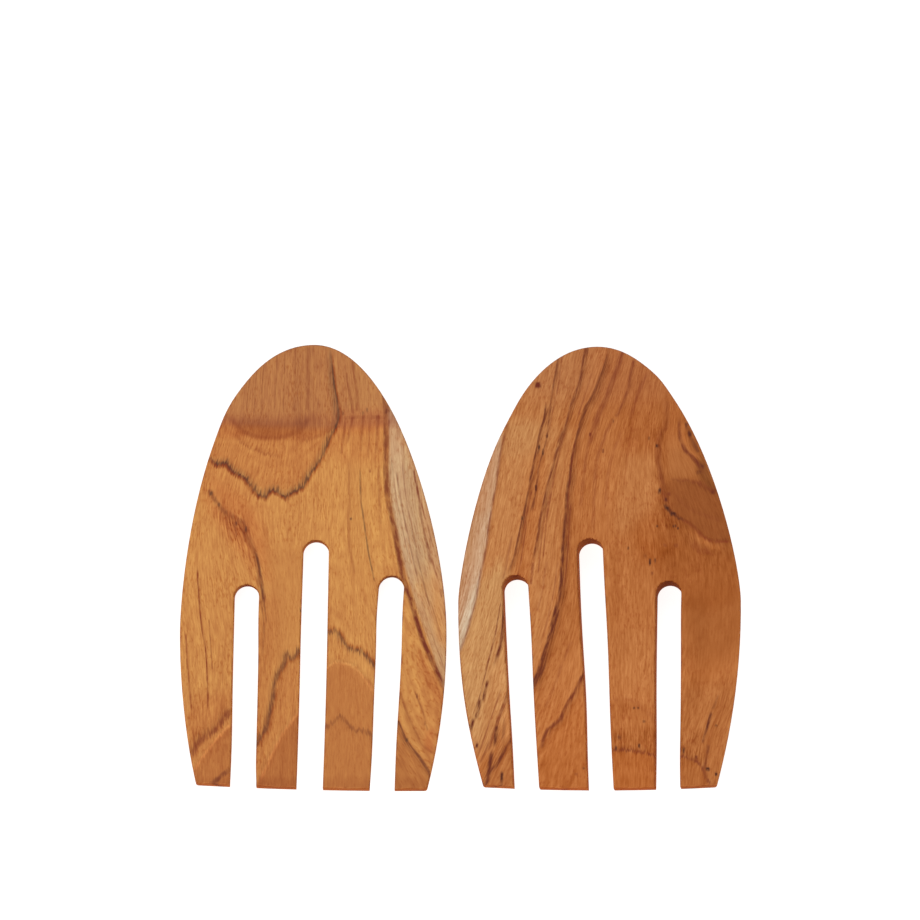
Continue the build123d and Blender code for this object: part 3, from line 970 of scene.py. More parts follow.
RIGHT_PATCHES = (
    # The crown: greyer in the middle as painted sheen, golden on the left, redder on the right
    Patch(((490, 330), (700, 330), (680, 395), (530, 395)), blur=8.0, light=0.07, red=0.1, dull=0.15),
    Patch(((490, 330), (590, 330), (560, 430), (495, 450)), blur=5.0, light=0.02, red=-0.35),
    Patch(((612, 360), (690, 380), (660, 460), (612, 430)), blur=8.0, light=-0.09, red=0.3),
    # Brown wood along the crown's two main streaks
    Patch(
        ((577, 345), (591, 345), (585, 375), (579, 395), (571, 415), (563, 440), (557, 460), (550, 460),
         (556, 435), (563, 412), (569, 392), (574, 370)),
        blur=1.6, light=-0.03, red=0.15,
    ),
    Patch(
        ((606, 345), (617, 345), (610, 375), (601, 394), (593, 407), (587, 418), (581, 442), (577, 465),
         (570, 465), (574, 440), (580, 415), (590, 396), (600, 372)),
        blur=1.6, light=-0.02, red=0.15,
    ),
    # Golden wood between the streaks on the left
    Patch(
        ((507, 420), (540, 425), (528, 480), (518, 540), (508, 590), (504, 620), (488, 680), (478, 740),
         (455, 700), (455, 640), (475, 560), (490, 480)),
        blur=4.0, light=0.1, red=-0.7,
    ),
    Patch(((500, 560), (512, 590), (508, 640), (512, 690), (490, 745), (470, 745), (452, 660), (475, 590)),
          blur=4.0, light=0.05, red=-0.85),
    Patch(
        ((547, 430), (572, 430), (566, 490), (560, 560), (558, 590), (540, 655), (532, 660), (530, 580),
         (542, 510)),
        blur=3.0, light=0.07, red=-0.5,
    ),
    # Sapwood
    Patch(
        ((503, 428), (497, 478), (490, 518), (484, 556), (474, 607), (456, 658), (440, 640), (460, 480),
         (490, 420)),
        blur=0.8, sap=0.7,
    ),
    Patch(((503, 425), (497, 478), (491, 508), (465, 508), (480, 430)), blur=3.0, sap=-0.2),
    # Calmer wood of the middle and the tines
    Patch(((538, 590), (750, 590), (750, 810), (530, 810)), blur=10.0, calm=0.15),
    Patch(((600, 400), (660, 400), (660, 580), (598, 580)), blur=10.0, calm=0.1),
    # Dark wood down the right side
    Patch(
        ((666, 400), (690, 400), (712, 440), (745, 540), (750, 640), (700, 660), (678, 610), (655, 570),
         (662, 520)),
        blur=8.0, light=-0.16, red=0.2, calm=0.2,
    ),
    Patch(
        ((666, 484), (682, 480), (698, 482), (716, 488), (745, 500), (745, 541), (712, 541), (690, 526),
         (670, 510)),
        blur=2.4, light=-0.13, red=0.4, calm=0.4, dull=0.05,
    ),
    Patch(((658, 470), (690, 474), (720, 484), (745, 500), (745, 545), (705, 545), (680, 530), (660, 510)),
          blur=5.0, light=-0.08, red=0.1),
    Patch(((632, 520), (668, 512), (688, 532), (672, 556), (640, 560)), blur=4.0, light=-0.07, red=0.3,
          calm=-0.2),
    Patch(((652, 430), (666, 425), (668, 500), (676, 525), (662, 520), (654, 480)), blur=3.0, light=-0.1,
          red=0.25, calm=-0.4),
    Patch(((640, 540), (700, 545), (735, 560), (735, 600), (690, 610), (655, 580)), blur=4.0, light=-0.07,
          red=0.3),
    # Golden wood left of the wedge, pale wood over it and dark wood at its right edge
    Patch(((623, 456), (655, 456), (650, 510), (615, 530)), blur=4.0, light=0.07, red=-0.4),
    Patch(((664, 440), (678, 436), (690, 458), (696, 474), (682, 477), (668, 477)), blur=2.5, light=0.05,
          red=-0.2, calm=0.3),
    Patch(((690, 430), (699, 440), (712, 478), (722, 496), (706, 486), (697, 474), (699, 462), (692, 446)),
          blur=2.0, light=-0.12, red=0.1),
    Patch(((694, 460), (704, 459), (712, 478), (716, 490), (704, 482), (697, 472)), blur=1.8, light=-0.18,
          red=0.1, calm=0.3),
    # The tines, their tips and the wood over the slots' ends
    Patch(((683, 600), (704, 600), (703, 680), (686, 692)), blur=4.0, light=-0.09, red=0.15),
    Patch(((683, 590), (750, 590), (745, 660), (690, 680)), blur=4.0, light=-0.03, red=0.1, calm=0.3),
    Patch(((606, 630), (655, 640), (655, 740), (610, 740)), blur=5.0, light=0.01, red=-0.1),
    Patch(((605, 728), (658, 730), (660, 755), (640, 752), (605, 751)), blur=2.5, light=-0.13, red=0.3,
          calm=-0.5),
    Patch(((605, 751), (640, 752), (660, 755), (660, 800), (605, 800)), blur=1.0, light=-0.04, red=0.3,
          calm=0.1),
    Patch(((678, 735), (700, 735), (704, 768), (697, 762), (678, 754)), blur=2.5, light=-0.08, red=0.15,
          calm=-0.4),
    Patch(((678, 755), (690, 759), (697, 762), (702, 768), (707, 780), (707, 800), (676, 800)), blur=0.9,
          light=-0.08, red=0.3, calm=0.1),
    Patch(((676, 690), (740, 690), (740, 800), (676, 800)), blur=6.0, light=-0.09),
    Patch(((540, 700), (660, 700), (660, 800), (535, 800)), blur=8.0, light=-0.05, red=0.2),
    Patch(((536, 666), (588, 654), (589, 732), (538, 745)), blur=4.0, light=0.05, red=-0.1),
    Patch(((497, 655), (506, 640), (512, 700), (515, 732), (507, 740), (499, 715), (494, 690)), blur=2.5,
          light=0.17, red=-0.5),
    Patch(((668, 402), (682, 402), (684, 440), (670, 445)), blur=3.0, light=0.11, red=-0.1),
    Patch(((598, 512), (668, 512), (705, 538), (730, 546), (722, 566), (660, 575), (656, 650), (604, 650)),
          blur=5.0, light=-0.055, red=0.1),
    Patch(((496, 728), (507, 722), (503, 752), (492, 768), (484, 772), (488, 748)), blur=2.0, light=-0.07),
    Patch(((514, 738), (497, 766), (486, 790), (518, 800)), blur=1.0, light=-0.06, red=-0.1, calm=0.1),
    Patch(((562, 510), (576, 510), (578, 600), (566, 650), (548, 690), (536, 684), (552, 635), (560, 600)),
          blur=3.0, light=-0.1, red=0.15),
    Patch(((565, 715), (590, 690), (590, 800), (538, 800), (540, 750)), blur=5.0, light=-0.02, red=0.2),
)
RIGHT_GUIDES = (
    ((530, 345), (508, 420), (497, 478), (487, 535), (475, 600), (458, 655), (436, 730), (412, 800)),
    ((584, 345), (571, 405), (557, 450), (545, 495), (537, 541), (524, 600), (503, 680), (488, 740),
     (460, 800)),
    ((611, 340), (595, 390), (578, 432), (570, 475), (564, 530), (560, 592), (546, 648), (536, 679),
     (520, 716), (484, 800)),
    ((640, 340), (629, 380), (614, 450), (605, 510), (604, 560), (606, 640), (609, 800)),
    ((671, 345), (662, 405), (658, 460), (664, 510), (670, 560), (668, 620), (664, 700), (663, 800)),
    ((700, 345), (684, 430), (700, 475), (726, 540), (732, 600), (724, 690), (708, 740), (700, 800)),
)
RIGHT_FIGURE = Figure(
    lines=RIGHT_LINES, flecks=RIGHT_FLECKS, patches=RIGHT_PATCHES, guides=RIGHT_GUIDES,
    drift_across=0.9, drift_along=1.1,
)


@dataclass(frozen=True)
class FibreNoise:
    """Noise that is drawn out along the fibres.

    Fields: across, along and through, its cells per mm each way; layers of finer noise.
    """

    across: float
    along: float
    through: float
    layers: float = 2.0


class Fibre(Enum):
    """The kinds of fibre and pore that the wood shows."""

    STREAK = FibreNoise(0.28, 0.012, 0.2, layers=3.0)
    VEIN = FibreNoise(0.5, 0.007, 0.3, layers=3.0)
    THREAD = FibreNoise(1.4, 0.022, 0.6)
    FINE = FibreNoise(1.4, 0.17, 0.8)
    DASH = FibreNoise(1.9, 0.42, 0.8, layers=1.0)
    DASH_FIELD = FibreNoise(0.12, 0.06, 0.1)
    JAG = FibreNoise(1.5, 0.05, 0.5, layers=4.0)
    HAIR = FibreNoise(1.6, 0.1, 0.5)
    BROKEN = FibreNoise(0.7, 0.2, 0.4, layers=3.0)


class Bench:
    """Adds shader nodes to a tree and joins them."""

    def __init__(self, tree: bpy.types.NodeTree) -> None:
        """Starts on an empty tree.

        Args:
            tree: The tree to build in.
        """
        self.tree = tree
        self.tree.nodes.clear()

    def node(self, kind: str, **settings: object) -> bpy.types.Node:
        """Adds a node.

        Args:
            kind: The node's type.
            settings: Properties to set on it.

        Returns:
            The node.
        """
        made = self.tree.nodes.new(kind)
        for name, value in settings.items():
            setattr(made, name, value)
        return made

    def feed(self, socket: bpy.types.NodeSocket, value: object) -> None:
        """Joins a socket to another's output, or sets it.

        Args:
            socket: The input.
            value: An output socket or a plain value.
        """
        if isinstance(value, bpy.types.NodeSocket):
            self.tree.links.new(value, socket)
        else:
            socket.default_value = value

    def group(self, tree: bpy.types.NodeTree, **inputs: object) -> Sockets:
        """Places a node group.

        Args:
            tree: The group.
            inputs: What its inputs take, with an underscore for each space in a name.

        Returns:
            The group's outputs by name.
        """
        made = self.node("ShaderNodeGroup", node_tree=tree)
        for name, value in inputs.items():
            given = (*value, 1.0) if isinstance(value, tuple) else value
            self.feed(made.inputs[name.replace("_", " ")], given)
        return {socket.name: socket for socket in made.outputs}

    def math(self, operation: str, *values: object, clamp: bool = False) -> bpy.types.NodeSocket:
        """Adds a sum of numbers.

        Args:
            operation: The kind of sum.
            values: Its inputs.
            clamp: Keeps the result between 0 and 1.

        Returns:
            The result.
        """
        made = self.node("ShaderNodeMath", operation=operation, use_clamp=clamp)
        for socket, value in zip(made.inputs, values):
            self.feed(socket, value)
        return made.outputs[0]

    def product(self, first: object, *others: object, clamp: bool = False) -> bpy.types.NodeSocket:
        """Multiplies numbers.

        Args:
            first: The first number.
            others: The others.
            clamp: Keeps each product between 0 and 1.

        Returns:
            The product.
        """
        for other in others:
            first = self.math("MULTIPLY", first, other, clamp=clamp)
        return first

    def scaled(self, value: object, by: object, plus: object) -> bpy.types.NodeSocket:
        """Multiplies a number and adds another."""
        return self.math("MULTIPLY_ADD", value, by, plus)

    def ramp(self, value: object, low: object, high: object, at_low: object = 0.0,
             at_high: object = 1.0) -> bpy.types.NodeSocket:
        """Maps a range of numbers to another, with soft ends.

        Args:
            value: The number to map.
            low: Start of its range.
            high: End of its range.
            at_low: Result at the start.
            at_high: Result at the end.

        Returns:
            The result.
        """
        made = self.node("ShaderNodeMapRange", interpolation_type="SMOOTHSTEP")
        names = ("Value", "From Min", "From Max", "To Min", "To Max")
        for name, item in zip(names, (value, low, high, at_low, at_high)):
            self.feed(made.inputs[name], item)
        return made.outputs["Result"]

    def noise(self, place: bpy.types.NodeSocket, fibre: Fibre) -> bpy.types.NodeSocket:
        """Adds noise about zero, from about -1 to 1.

        Args:
            place: Coordinates in mm.
            fibre: What the noise draws.

        Returns:
            The noise.
        """
        drawn = fibre.value
        stretched = self.node("ShaderNodeVectorMath", operation="MULTIPLY")
        self.feed(stretched.inputs[0], place)
        stretched.inputs[1].default_value = (drawn.across, drawn.along, drawn.through)
        made = self.node("ShaderNodeTexNoise", noise_dimensions="3D")
        self.feed(made.inputs["Vector"], stretched.outputs[0])
        made.inputs["Scale"].default_value = 1.0
        made.inputs["Detail"].default_value = drawn.layers
        return self.scaled(made.outputs["Fac"], NOISE_SPAN, -NOISE_SPAN / 2)

    def mix(self, share: object, first: object, second: object, blend: str = "MIX") -> bpy.types.NodeSocket:
        """Mixes two colours.

        Args:
            share: How much of the second.
            first: The first colour.
            second: The second colour.
            blend: How they mix.

        Returns:
            The mixed colour.
        """
        made = self.node("ShaderNodeMix", data_type="RGBA", blend_type=blend)
        self.feed(made.inputs["Factor"], share)
        for name, colour in (("A", first), ("B", second)):
            socket = next(s for s in made.inputs if s.name == name and s.type == "RGBA")
            self.feed(socket, (*colour, 1.0) if isinstance(colour, tuple) else colour)
        return next(s for s in made.outputs if s.type == "RGBA")

    def tint(self, share: object, colour: object, by: object) -> bpy.types.NodeSocket:
        """Multiplies a colour by another over a share of it."""
        return self.mix(share, colour, self.mix(1.0, colour, by, "MULTIPLY"))

    def attribute(self, name: str) -> bpy.types.NodeSocket:
        """Reads one of the mesh's own attributes."""
        return self.node("ShaderNodeAttribute", attribute_name=name).outputs["Vector"]

    def split(self, vector: bpy.types.NodeSocket) -> tuple[bpy.types.NodeSocket, ...]:
        """Splits a vector.

        Args:
            vector: The vector.

        Returns:
            Its three numbers.
        """
        made = self.node("ShaderNodeSeparateXYZ")
        self.feed(made.inputs[0], vector)
        return tuple(made.outputs)


@dataclass(frozen=True)
class LineStroke:
    """How growth lines are drawn.

    Fields: full and gone, the half widths up to which a line's core is full and where it is gone;
    fade_from, the share of its reach where its marks begin to fade; worn and sound, the noise where it
    is worn most and least, and bold, its ink where least; hair, how far dark hairs grow into its wash,
    in mm; uneven, how much they vary that wash; wash_start and wash_full, where the wash sets in, in mm;
    rust_widths and rust_margin, how far its red fringe reaches, in half widths and in mm more, and
    rust_end, where it ends inside the line; stain, rust and pale, what its red wash, its fringe and a
    pale line multiply the wood by.
    """

    full: float = 0.3
    gone: float = 1.5
    fade_from: float = 0.7
    worn: float = -0.7
    sound: float = 0.5
    bold: float = 1.3
    hair: float = 5.0
    uneven: float = 0.7
    wash_start: float = -0.4
    wash_full: float = 0.2
    rust_widths: float = 2.5
    rust_margin: float = 0.6
    rust_end: float = 0.2
    stain: Colour = (0.55, 0.4, 0.34)
    rust: Colour = (0.62, 0.36, 0.28)
    pale: Colour = (1.5, 1.6, 1.7)


@dataclass(frozen=True)
class BandNoise:
    """Soft bands between growth lines: how many to a year, their finer layers, and the fibres' pull."""

    per_year: float = 5.0
    layers: float = 3.0
    jag: float = 0.06


class WoodGroups:
    """The node groups that both hands' wood shares."""

    stroke: LineStroke = LineStroke()
    band: BandNoise = BandNoise()
    # The noise at which a vein or a dash begins to show, and at which it shows in full
    vein_range: tuple[float, float] = (0.2, 0.9)
    dash_range: tuple[float, float] = (0.2, 0.8)
    # How strongly dashes gather in some parts of the wood and thin out in others
    dash_gathering: float = 0.45

    def __init__(self) -> None:
        """Builds the groups."""
        fibres = ("Streak", "Vein", "Thread", "Fine", "Dashes", "Jag", "Hair", "Broken")
        colours = dict.fromkeys(("Color", "Grey Line", "Red Line", "Stain"), "Color")
        vectors = {name.title(): "Vector" for name in MARKS}
        numbers = dict.fromkeys(("Jag", "Hair", "Broken", "Wear"), "Float")
        self.fibre = self._make(
            "wood_fibre", {"Grain": "Vector"}, dict.fromkeys(fibres, "Float"), self._fibre)
        self.lines = self._make(
            "growth_lines", colours | vectors | numbers, {"Color": "Color"}, self._lines)
        self.bands = self._make(
            "growth_bands", {"Year": "Float", "Jag": "Float"}, {"Band": "Float"}, self._bands)

    def _make(self, name: str, inputs: dict[str, str], outputs: dict[str, str],
              fill: Callable[[Bench, Sockets], Sockets]) -> bpy.types.NodeTree:
        """Makes a group with named sockets and fills it.

        Args:
            name: The group's name.
            inputs: Input names with their kind.
            outputs: Output names with their kind.
            fill: The method that builds its inside.

        Returns:
            The group.
        """
        group = bpy.data.node_groups.new(name, "ShaderNodeTree")
        for way, sockets in (("INPUT", inputs), ("OUTPUT", outputs)):
            for item, kind in sockets.items():
                group.interface.new_socket(item, in_out=way, socket_type=f"NodeSocket{kind}")
        bench = Bench(group)
        given = {socket.name: socket for socket in bench.node("NodeGroupInput").outputs}
        ends = bench.node("NodeGroupOutput").inputs
        for item, value in fill(bench, given).items():
            bench.feed(ends[item], value)
        return group

    def _fibre(self, bench: Bench, given: Sockets) -> Sockets:
        """Draws the fibres, streaks and open pores along the grain.

        Args:
            bench: Where to build.
            given: The group's inputs.

        Returns:
            The group's outputs.
        """
        grain = given["Grain"]
        field = bench.noise(grain, Fibre.DASH_FIELD)
        dashes = bench.scaled(field, self.dash_gathering, bench.noise(grain, Fibre.DASH))
        return {
            "Streak": bench.noise(grain, Fibre.STREAK),
            "Vein": bench.ramp(bench.noise(grain, Fibre.VEIN), *self.vein_range),
            "Thread": bench.ramp(bench.noise(grain, Fibre.THREAD), *self.vein_range),
            "Fine": bench.noise(grain, Fibre.FINE),
            "Dashes": bench.ramp(dashes, *self.dash_range),
            "Jag": bench.noise(grain, Fibre.JAG),
            "Hair": bench.noise(grain, Fibre.HAIR),
            "Broken": bench.noise(grain, Fibre.BROKEN),
        }

    def _lines(self, bench: Bench, given: Sockets) -> Sockets:
        """Draws growth lines over a colour: a core pulled about by the fibres, its wash and its fringe.

        Args:
            bench: Where to build.
            given: The group's inputs.

        Returns:
            The group's output.
        """
        stroke = self.stroke
        signed, near, ragged = bench.split(given["Place"])
        ink, half, red = bench.split(given["Look"])
        wash, reach, fringe = bench.split(given["Wash"])
        depth = bench.math("ABSOLUTE", wash)
        beside = bench.product(bench.scaled(given["Jag"], ragged, signed), bench.math("SIGN", wash))
        gate = bench.ramp(near, stroke.fade_from, 1.0, 1.0, 0.0)
        kept = bench.ramp(given["Broken"], stroke.worn, stroke.sound, given["Wear"], stroke.bold)
        worn = bench.product(gate, kept)

        hair = bench.product(bench.math("MAXIMUM", given["Hair"], 0.0), bench.product(depth, stroke.hair))
        edge = bench.product(half, -1.0)
        near_side = bench.ramp(beside, bench.product(edge, stroke.gone), bench.product(edge, stroke.full))
        far = bench.scaled(half, stroke.gone, hair)
        far_side = bench.ramp(beside, bench.product(half, stroke.full), far, 1.0, 0.0)
        drawn = bench.product(near_side, far_side, ink, worn)

        fade = bench.product(bench.ramp(beside, 0.0, reach, 1.0, 0.0),
                             bench.ramp(beside, stroke.wash_start, stroke.wash_full))
        shade = bench.product(fade, depth, bench.scaled(given["Hair"], stroke.uneven, 1.0), gate)
        rust_start = bench.scaled(half, -stroke.rust_widths, -stroke.rust_margin)
        rust = bench.product(bench.ramp(beside, rust_start, edge),
                             bench.ramp(beside, edge, stroke.rust_end, 1.0, 0.0), fringe, worn)

        colour = bench.tint(shade, given["Color"], bench.mix(red, given["Stain"], stroke.stain))
        colour = bench.tint(rust, colour, stroke.rust)
        line = bench.mix(red, given["Grey Line"], given["Red Line"])
        colour = bench.mix(bench.math("MAXIMUM", drawn, 0.0), colour, line)
        pale = bench.math("MAXIMUM", bench.product(drawn, -1.0), 0.0)
        return {"Color": bench.tint(pale, colour, stroke.pale)}

    def _bands(self, bench: Bench, given: Sockets) -> Sockets:
        """Draws soft bands that run with the growth lines.

        Args:
            bench: Where to build.
            given: The group's inputs.

        Returns:
            The group's output.
        """
        made = bench.node("ShaderNodeTexNoise", noise_dimensions="1D")
        bench.feed(made.inputs["W"], bench.scaled(given["Jag"], self.band.jag, given["Year"]))
        made.inputs["Scale"].default_value = self.band.per_year
        made.inputs["Detail"].default_value = self.band.layers
        return {"Band": bench.scaled(made.outputs["Fac"], NOISE_SPAN, -NOISE_SPAN / 2)}


@dataclass(frozen=True)
class TeakFinish:
    """Sanded and oiled teak.

    Fields: name; heart, the heartwood's middle colour; sapwood; grey_line and red_line, the two
    colours that growth lines run between; stain, what their wash is multiplied by; wear, the ink left
    where a line is worn; blush, what redder wood loses of green and blue; grain_blush, how much redder
    darker fibres are; wall, what a sawn wall's colour is multiplied by, for its sawn colour and painted
    shade where walls get less light; end, the same again for end grain, with deeper painted shade in the
    slots' ends; vein_tint and dash_tint, what veins and pores are multiplied by; dull, the colour of greyed
    wood, also painted over the grip ends as sheen; streak, fine, vein, thread, sap_thread, band and dash,
    how strongly each shows; roughness, and how much fine fibres and walls add to it; shine; bump, its
    height and how deep the pores lie in it.
    """

    name: str
    heart: Colour
    sapwood: Colour
    grey_line: Colour = linear(82, 60, 46)
    red_line: Colour = linear(132, 50, 30)
    stain: Colour = (0.5, 0.58, 0.8)
    wear: float = 0.5
    blush: tuple[float, float] = (0.28, 0.3)
    grain_blush: float = 2.5
    # Sawn colour with painted shade for the walls, and darker painted shade with end grain's own colour for
    # the ends
    wall: Colour = (0.9, 0.7, 0.48)
    end: Colour = (0.48, 0.36, 0.26)
    vein_tint: Colour = (0.72, 0.52, 0.4)
    dash_tint: Colour = (0.74, 0.52, 0.4)
    dull: Colour = (0.24, 0.15, 0.1)
    streak: float = 0.08
    fine: float = 0.16
    vein: float = 0.12
    thread: float = 0.15
    sap_thread: float = 0.6
    band: float = 0.06
    dash: float = 0.55
    roughness: float = 0.5
    fine_roughness: float = 0.05
    wall_roughness: float = 0.45
    shine: float = 0.06
    bump: float = 0.12
    bump_height: float = 0.1 * MM
    pore_depth: float = 1.2

    def make(self, groups: WoodGroups) -> bpy.types.Material:
        """Builds the wood's material.

        Args:
            groups: The shared node groups.

        Returns:
            The material.
        """
        material = bpy.data.materials.new(self.name)
        material.use_nodes = True
        bench = Bench(material.node_tree)
        fibres = bench.group(groups.fibre, Grain=bench.attribute("grain"))
        wall, end, _ = bench.split(bench.attribute("cut"))
        colour = self._wood(bench, groups, fibres)
        colour = self._growth_lines(bench, groups, fibres, colour)
        # Painted shade: sawn walls, and end grain more, are darkened for the light they get less of, over
        # their own sawn colour
        colour = bench.tint(wall, colour, self.wall)
        colour = bench.tint(end, colour, self.end)

        shader = bench.node("ShaderNodeBsdfPrincipled")
        bench.feed(shader.inputs["Base Color"], colour)
        rough = bench.scaled(fibres["Fine"], self.fine_roughness, self.roughness)
        bench.feed(shader.inputs["Roughness"], bench.scaled(wall, self.wall_roughness, rough))
        shader.inputs["Specular IOR Level"].default_value = self.shine
        bump = bench.node("ShaderNodeBump")
        bump.inputs["Strength"].default_value = self.bump
        bump.inputs["Distance"].default_value = self.bump_height
        bench.feed(bump.inputs["Height"], bench.scaled(fibres["Dashes"], -self.pore_depth, fibres["Fine"]))
        bench.feed(shader.inputs["Normal"], bump.outputs["Normal"])
        output = bench.node("ShaderNodeOutputMaterial")
        bench.feed(output.inputs["Surface"], shader.outputs["BSDF"])
        return material

    def _wood(self, bench: Bench, groups: WoodGroups, fibres: Sockets) -> bpy.types.NodeSocket:
        """Mixes the wood's colour from its tones and fibres.

        Args:
            bench: Where to build.
            groups: The shared node groups.
            fibres: The fibres to draw.

        Returns:
            The colour.
        """
        light, red, sap = bench.split(bench.attribute("tone"))
        calm, year, dull = bench.split(bench.attribute("growth"))
        bands = bench.group(groups.bands, Year=year, Jag=fibres["Jag"])
        lively = bench.math("SUBTRACT", 1.0, calm)
        broad = bench.scaled(bands["Band"], self.band, bench.product(fibres["Streak"], self.streak))
        grain = bench.product(bench.scaled(fibres["Fine"], self.fine, broad), lively)
        value = bench.math("ADD", bench.math("ADD", grain, light), 1.0)
        colour = bench.mix(bench.math("ADD", sap, 0.0, clamp=True), self.heart, self.sapwood)
        colour = bench.mix(1.0, colour, value, "MULTIPLY")

        warm = bench.scaled(grain, -self.grain_blush, red)
        blush = bench.node("ShaderNodeCombineColor")
        bench.feed(blush.inputs["Red"], 1.0)
        for name, loss in zip(("Green", "Blue"), self.blush):
            bench.feed(blush.inputs[name], bench.scaled(warm, -loss, 1.0))
        colour = bench.mix(1.0, colour, blush.outputs["Color"], "MULTIPLY")
        # Greyed wood, and painted sheen where the patches grey the grip ends
        colour = bench.mix(dull, colour, self.dull)

        thread = bench.product(fibres["Thread"], bench.scaled(sap, self.sap_thread, self.thread))
        veins = bench.product(bench.scaled(fibres["Vein"], self.vein, thread), lively, clamp=True)
        colour = bench.tint(veins, colour, self.vein_tint)
        dashes = bench.product(bench.product(fibres["Dashes"], self.dash), lively, clamp=True)
        return bench.tint(dashes, colour, self.dash_tint)

    def _growth_lines(self, bench: Bench, groups: WoodGroups, fibres: Sockets,
                      colour: bpy.types.NodeSocket) -> bpy.types.NodeSocket:
        """Draws each set of growth lines over the wood.

        Args:
            bench: Where to build.
            groups: The shared node groups.
            fibres: The fibres that pull the lines about.
            colour: The wood's colour.

        Returns:
            The colour with its lines.
        """
        pulls = {name: fibres[name] for name in ("Jag", "Hair", "Broken")}
        for channel in LineChannel:
            marks = {name.title(): bench.attribute(f"{channel.value}_{name}") for name in MARKS}
            drawn = bench.group(groups.lines, Color=colour, Grey_Line=self.grey_line, Red_Line=self.red_line,
                                Stain=self.stain, Wear=self.wear, **marks, **pulls)
            colour = drawn["Color"]
        return colour


LEFT_TEAK = TeakFinish("left_teak", heart=(0.612, 0.261, 0.073), sapwood=(0.575, 0.36, 0.195), sap_thread=0.9)
RIGHT_TEAK = TeakFinish(
    "right_teak", heart=(0.505, 0.17, 0.046), sapwood=(0.585, 0.34, 0.185), grey_line=linear(74, 42, 30),
    stain=(0.52, 0.45, 0.45), wear=0.4, blush=(0.28, 0.6), fine=0.2, vein=0.5, thread=0.35, sap_thread=0.9,
)


@dataclass(frozen=True)
class Bow:
    """A stretch of a sawn edge that strays sideways, as a hand-held saw cuts it.

    Fields: place of its middle, in the photograph's pixels; shift, how far it strays, to the right
    where positive; across and along, how far the straying reaches each way, in mm.
    """

    place: Pixel
    shift: float
    along: float
    across: float = 3.0

    def shifts(self, points: np.ndarray, middle: tuple[float, float]) -> np.ndarray:
        """Gives how far points stray.

        Args:
            points: Places, across and along, in metres.
            middle: The bow's middle on the hand.

        Returns:
            The sideways shifts, in metres.
        """
        away = (points - np.array(middle)) / (np.array((self.across, self.along)) * MM)
        return self.shift * MM * np.exp(-(away**2).sum(axis=1))


@dataclass(frozen=True)
class FacePoints:
    """A hand's points, by the kind of face they lie on.

    Fields: points; upper, lower and walls, whether each lies on a broad face that looks up or down, or
    on a sawn wall; side, the mean normal of its walls.
    """

    points: np.ndarray
    upper: np.ndarray
    lower: np.ndarray
    walls: np.ndarray
    side: np.ndarray


